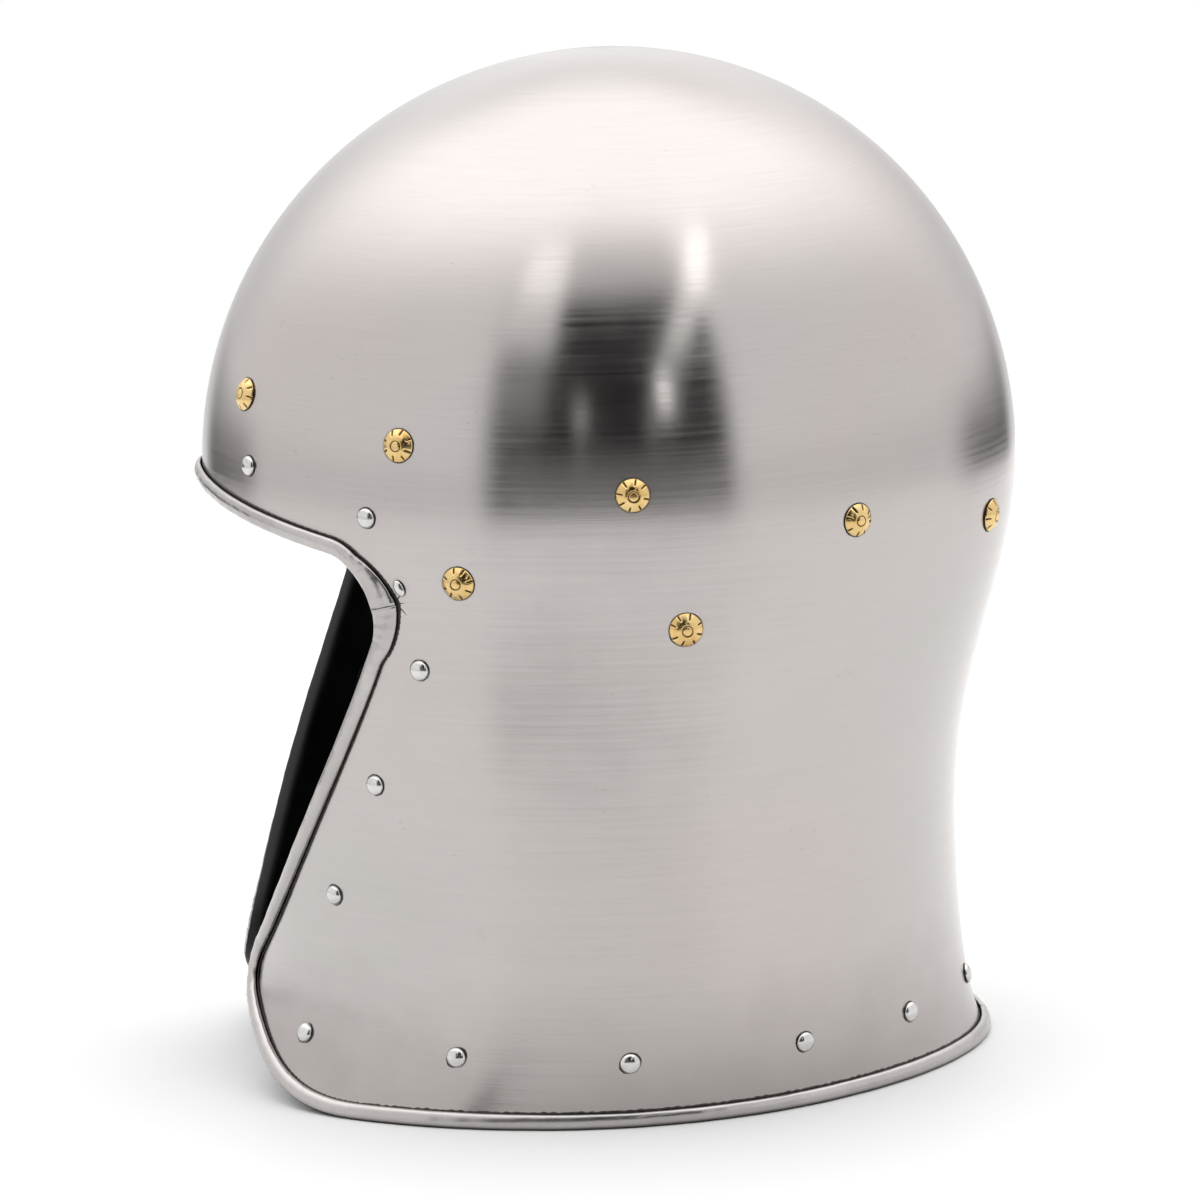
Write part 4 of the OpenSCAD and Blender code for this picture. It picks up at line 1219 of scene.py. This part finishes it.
def right_strap_pieces():
    """Strap with five holes, which curls in under the chin to a pointed end."""
    foot_z = SWIVEL_Z - RIGHT_LEN
    bend = arc(STRAP_X - CURL_R, foot_z, CURL_R, 0, -90, 20)
    end_x = STRAP_X - CURL_R - TIP_LEN
    flat = [(x, foot_z - CURL_R) for x in np.linspace(STRAP_X - CURL_R - 1, end_x + 0.2, 12)]
    line = strap_path(hanging(foot_z) + bend + flat)
    pointed = np.minimum(1, (1.6 + (line[-12:, 0] - end_x) * 0.82) / (STRAP_W / 2))
    holes = [hole_through(foot_z + 4 + 10 * i, SHANK_D / 2) for i in range(5)]
    holes.append(hole_through(SWIVEL_Z, HOLE_R))
    mesh_piece("right_chin_strap_leather", mirrored(strap_ribbon(line, pointed)), [STRAP_LEATHER],
               ["right_chin_strap"], "right_strap", cutter=mirrored(join(holes)))
    straight = strap_path([(STRAP_X, z) for z in np.linspace(SWIVEL_Z - 8, foot_z + 2, 30)] + bend)
    parts = edge_stitches(straight, -AWAY, STRAP_W / 2) + edge_stitches(straight[:30], AWAY, STRAP_W / 2)
    mesh_piece("right_chin_strap_stitches", mirrored(join(parts)), [WAXED],
               body="right_strap")


def swivel_rivets():
    profile = shank(3 * LAYER - ROVE_T, (0.35, 0.98), (0.65, 0.7), (0.75, 0.3))
    profile += [(3.8, HEAD_LIFT), (4.0, HEAD_LIFT + 0.15)]
    profile += [(4 * cos(a), HEAD_LIFT + 0.3 + 1.6 * sin(a)) for a in np.linspace(0, 1.5, 10)]
    left = strap_rivet((STRAP_X - LEATHER_T / 2 - 0.1, SWIVEL_Y, SWIVEL_Z), profile + [(0, HEAD_LIFT + 1.9)])
    for name, part in zip(("left_swivel_rivet", "right_swivel_rivet"), both_sides(left)):
        mesh_piece(f"{name}_turned", part, [STRAP_BRASS], [name])


def buckle_pieces(r=1.6):
    """Rectangle of filed brass bar, its corners rounded by r, with a dip where the prong lies."""
    w, low = FRAME_W / 2, BAR_Z - FRAME_H
    path = [(y, BAR_Z) for y in np.linspace(-w + r, w - r, 14)]
    path += arc(w - r, BAR_Z - r, r, 90, 0, 7)[1:]
    path += [(w, z) for z in np.linspace(BAR_Z - r, low + r, 12)[1:]]
    path += arc(w - r, low + r, r, 0, -90, 7)[1:]
    path += [(y, low) for y in np.linspace(w - r, -w + r, 34)[1:]]
    path += arc(-w + r, low + r, r, -90, -180, 7)[1:]
    path += [(-w, z) for z in np.linspace(low + r, BAR_Z - r, 12)[1:]]
    path += arc(-w + r, BAR_Z - r, r, 180, 90, 7)[1:-1]
    line = np.array([(BAR_X, SWIVEL_Y + y, z) for y, z in path])
    rings = []
    for (y, z), p, a, u in zip(path, line, *frame_along(line, AWAY, closed=True)):
        round_bar = z > BAR_Z - 0.6 and abs(y) < w - 1.8
        dip = 0.28 * exp(-(y / 1.5) ** 2) + 0.05 * cos(2.1 * y) if z < low + 1 else 0
        size, power = (BAR_R * 0.985, 1.0) if round_bar else (BAR_R, 0.72)
        ring = []
        for t in around(20):
            c, s = cos(t), sin(t)
            flatten = (abs(c) ** (2 / power) + abs(s) ** (2 / power)) ** (-power / 2) if power < 1 else 1
            ring.append(p + a * size * c * flatten * 0.99 + u * (size * s * flatten * 0.99 - dip * (s < 0)))
        rings.append(ring)
    mesh_piece("buckle_frame_filed", loft(rings, closed=True), [STRAP_BRASS],
               ["buckle_frame"], "frame_of_buckle")


def prong_pieces(steps=36):
    """Knuckle round the bar and a tapered pin that leans to lie on the foot of the frame."""
    lean = atan((BAR_R + PRONG_R + 0.15) / FRAME_H)
    outer, length, centre = LOOP_R + 1, FRAME_H + PRONG_PAST, (BAR_X, SWIVEL_Y, BAR_Z)
    ring = [(LOOP_R, -1.8), (outer - 0.25, -1.8), (outer, -1.5), (outer, 1.5), (outer - 0.25, 1.8),
            (LOOP_R, 1.8)]
    knuckle = loft([[(r * cos(a), h, r * sin(a)) for r, h in ring] for a in around(steps)], closed=True)
    profile = [(0, -length - 0.98), (0.45, -length - 0.8), (0.78, -length - 0.4), (0.86, -length + 0.4),
               (0.92, -length + 6), (0.98, -length + 14), (1.0, -LOOP_R - 0.5), (0, -LOOP_R - 0.45)]
    c, s = cos(lean), sin(lean)
    parts = [placed(knuckle, (1, 0, 0), (0, 1, 0), (0, 0, 1), centre),
             placed(lathe(profile, 24), (c, 0, -s), (0, 1, 0), (s, 0, c), centre)]
    mesh_piece("buckle_prong_filed", join(parts), [STRAP_BRASS], ["buckle_prong"], "prong")


def keeper_pieces(thick=1.6, tall=8.0):
    """Leather loop that holds the end of the other strap."""
    half_x, half_y = (LEATHER_T + 0.3 + thick) / 2, (STRAP_W + 0.4 + thick) / 2
    line = np.array([(STRAP_X + x, SWIVEL_Y + y, BAR_Z + FOLD_UP + 8)
                     for x, y in rounded(half_x, half_y, 1.0, 6)])
    section = [(t, w) for w, t in rounded(tall / 2 - 0.02, thick / 2 - 0.02, 0.45)]
    part = ribbon(line, section, np.array([0, 0, 1.0]), closed=True)
    mesh_piece("strap_keeper_leather", part, [STRAP_LEATHER], ["strap_keeper"], "keeper")


for side_name, on_left in (("left", True), ("right", False)):
    leg_pieces(f"{side_name}_front_leg", STRAP_SPOTS[0], FRONT_LEG_X, on_left)
    leg_pieces(f"{side_name}_rear_leg", STRAP_SPOTS[1], REAR_LEG_X, on_left)
left_strap_pieces()
right_strap_pieces()
swivel_rivets()
buckle_pieces()
prong_pieces()
keeper_pieces()


# ---- camera and light

CAMERA_AT, CAMERA_TO = Vector((2.1113, -0.1229, 0.5548)), Vector((-0.0003, -0.0029, 0.1344))
CAMERA_ROLL, LENS, SENSOR = radians(-1.708), 216.3, 36
CARD_BEARING = 3.3           # turns the room round the helmet
SURROUND, CEILING = 1.09, 2.06


def camera():
    """A long lens a little forward of square-on to the left side, looking slightly down."""
    back = (CAMERA_AT - CAMERA_TO).normalized()
    right = Vector((0, 0, 1)).cross(back).normalized()
    up = back.cross(right)
    c, s = cos(CAMERA_ROLL), sin(CAMERA_ROLL)
    turn = Matrix((right * c + up * s, up * c - right * s, back)).transposed().to_4x4()
    data = bpy.data.cameras.new("camera")
    data.sensor_width = SENSOR
    data.lens = LENS
    eye = new_object("camera", data)
    eye.matrix_world = Matrix.Translation(CAMERA_AT) @ turn
    bpy.context.scene.camera = eye


def floor(radius=1.05, steps=96):
    """Round pale table top, small enough that the low walls mirror the room beyond it."""
    mesh = bpy.data.meshes.new("floor")
    mesh.from_pydata([(radius * cos(a), radius * sin(a), 0) for a in around(steps)], [],
                     [tuple(range(steps))])
    m = Nodes("pale_floor")
    base = m.blend(m.noise(3, 3, 0.5), (0.84, 0.84, 0.84), (0.855, 0.855, 0.855))
    mesh.materials.append(m.set(Base_Color=base, Roughness=0.6))
    new_object("floor", mesh)


def studio():
    """White surround, brighter overhead, pure white where it is seen directly. The camera's side of the
    room is a black card with soft upright strip lights in front of it. Bearings are in degrees."""
    world = bpy.data.worlds.new("studio")
    bpy.context.scene.world = world
    world.use_nodes = True
    w = Tree(world.node_tree)
    background = w.add("ShaderNodeBackground")
    w.feed(w.add("ShaderNodeOutputWorld").inputs[0], background.outputs[0])
    split = w.add("ShaderNodeSeparateXYZ")
    w.feed(split.inputs[0], w.add("ShaderNodeTexCoord").outputs["Generated"])
    x, y, z = split.outputs

    def degrees(angle):
        return w.times(angle, 180 / pi)

    def ramp(value, low, high, to_low=0.0, to_high=1.0):
        return w.span(value, low, high, to_low, to_high, soft=True)

    def between(value, low, high, soft):
        under = w.minus(1.0, ramp(value, high - soft, high + soft))
        return w.times(ramp(value, low - soft, low + soft), under)

    def darken(level, mask, amount):
        return w.times(level, w.minus(1.0, w.times(mask, amount)))

    bearing = w.plus(degrees(w.math("ARCTAN2", y, x)), CARD_BEARING)
    rise = degrees(w.math("ARCSINE", z))
    away = w.math("ABSOLUTE", bearing)
    # The ceiling's edge comes down from 65 degrees over the card to 8 degrees behind the helmet
    edge = w.minus(65.0, w.times(57.0, w.math("POWER", w.math("DIVIDE", away, 175.0), 1.5)))
    level = ramp(w.minus(rise, edge), -20, 20, SURROUND, CEILING)
    level = w.times(level, ramp(rise, -2, 3, 0.86, 1.0))
    # Dark patches low behind to left and right, a greyer far side, a grey top to the card, the card
    level = darken(level, w.times(between(away, 112, 152, 8), between(rise, -25, -3, 7)), 0.88)
    level = darken(level, w.times(ramp(away, 118, 165), between(rise, -5, 50, 14)), 0.32)
    level = darken(level, w.times(between(bearing, -35, 36, 6), between(rise, 36, 62, 8)), 0.27)
    level = darken(level, w.times(between(bearing, -34, 37, 4), between(rise, -20, 46, 4)), 0.985)
    foot = w.times(between(bearing, -31, 35, 5), between(rise, -30, 3, 5))
    level = w.plus(level, w.times(foot, 0.24))
    # Strip lights: middle and half-width, edge softness, lowest and highest rise with softness, power
    leaning = w.plus(12.0, w.times(w.times(rise, rise), 0.012))
    widening = w.plus(1.4, w.times(rise, 0.09))
    for middle, half_width, soft, low, high, soft_rise, power in (
            (-25.5, 8.5, 0.35, 32, 60, 5, 1.05), (-25.5, 7.0, 0.5, 12, 32, 6, 0.3),
            (-7.8, 1.8, 0.5, 13, 19, 2, 0.9), (-7.8, 1.4, 0.7, 2, 14, 4, 0.15),
            (leaning, widening, 0.35, 8, 32, 4, 0.2), (leaning, widening, 0.3, 30, 58, 5, 1.4),
            (18.3, 2.2, 0.4, 16, 25, 2, 2.4)):
        off = w.math("DIVIDE", w.math("ABSOLUTE", w.minus(bearing, middle)), half_width)
        mask = w.times(ramp(off, 1 - soft, 1 + soft, 1.0, 0.0), between(rise, low, high, soft_rise))
        level = w.plus(level, w.times(mask, power))
    level = w.math("MAXIMUM", level, w.add("ShaderNodeLightPath").outputs["Is Camera Ray"])
    combine = w.add("ShaderNodeCombineColor")
    for socket in combine.inputs[:3]:
        w.feed(socket, level)
    w.feed(background.inputs["Color"], combine.outputs[0])
    bpy.context.scene.view_settings.view_transform = "Standard"


camera()
floor()
studio()
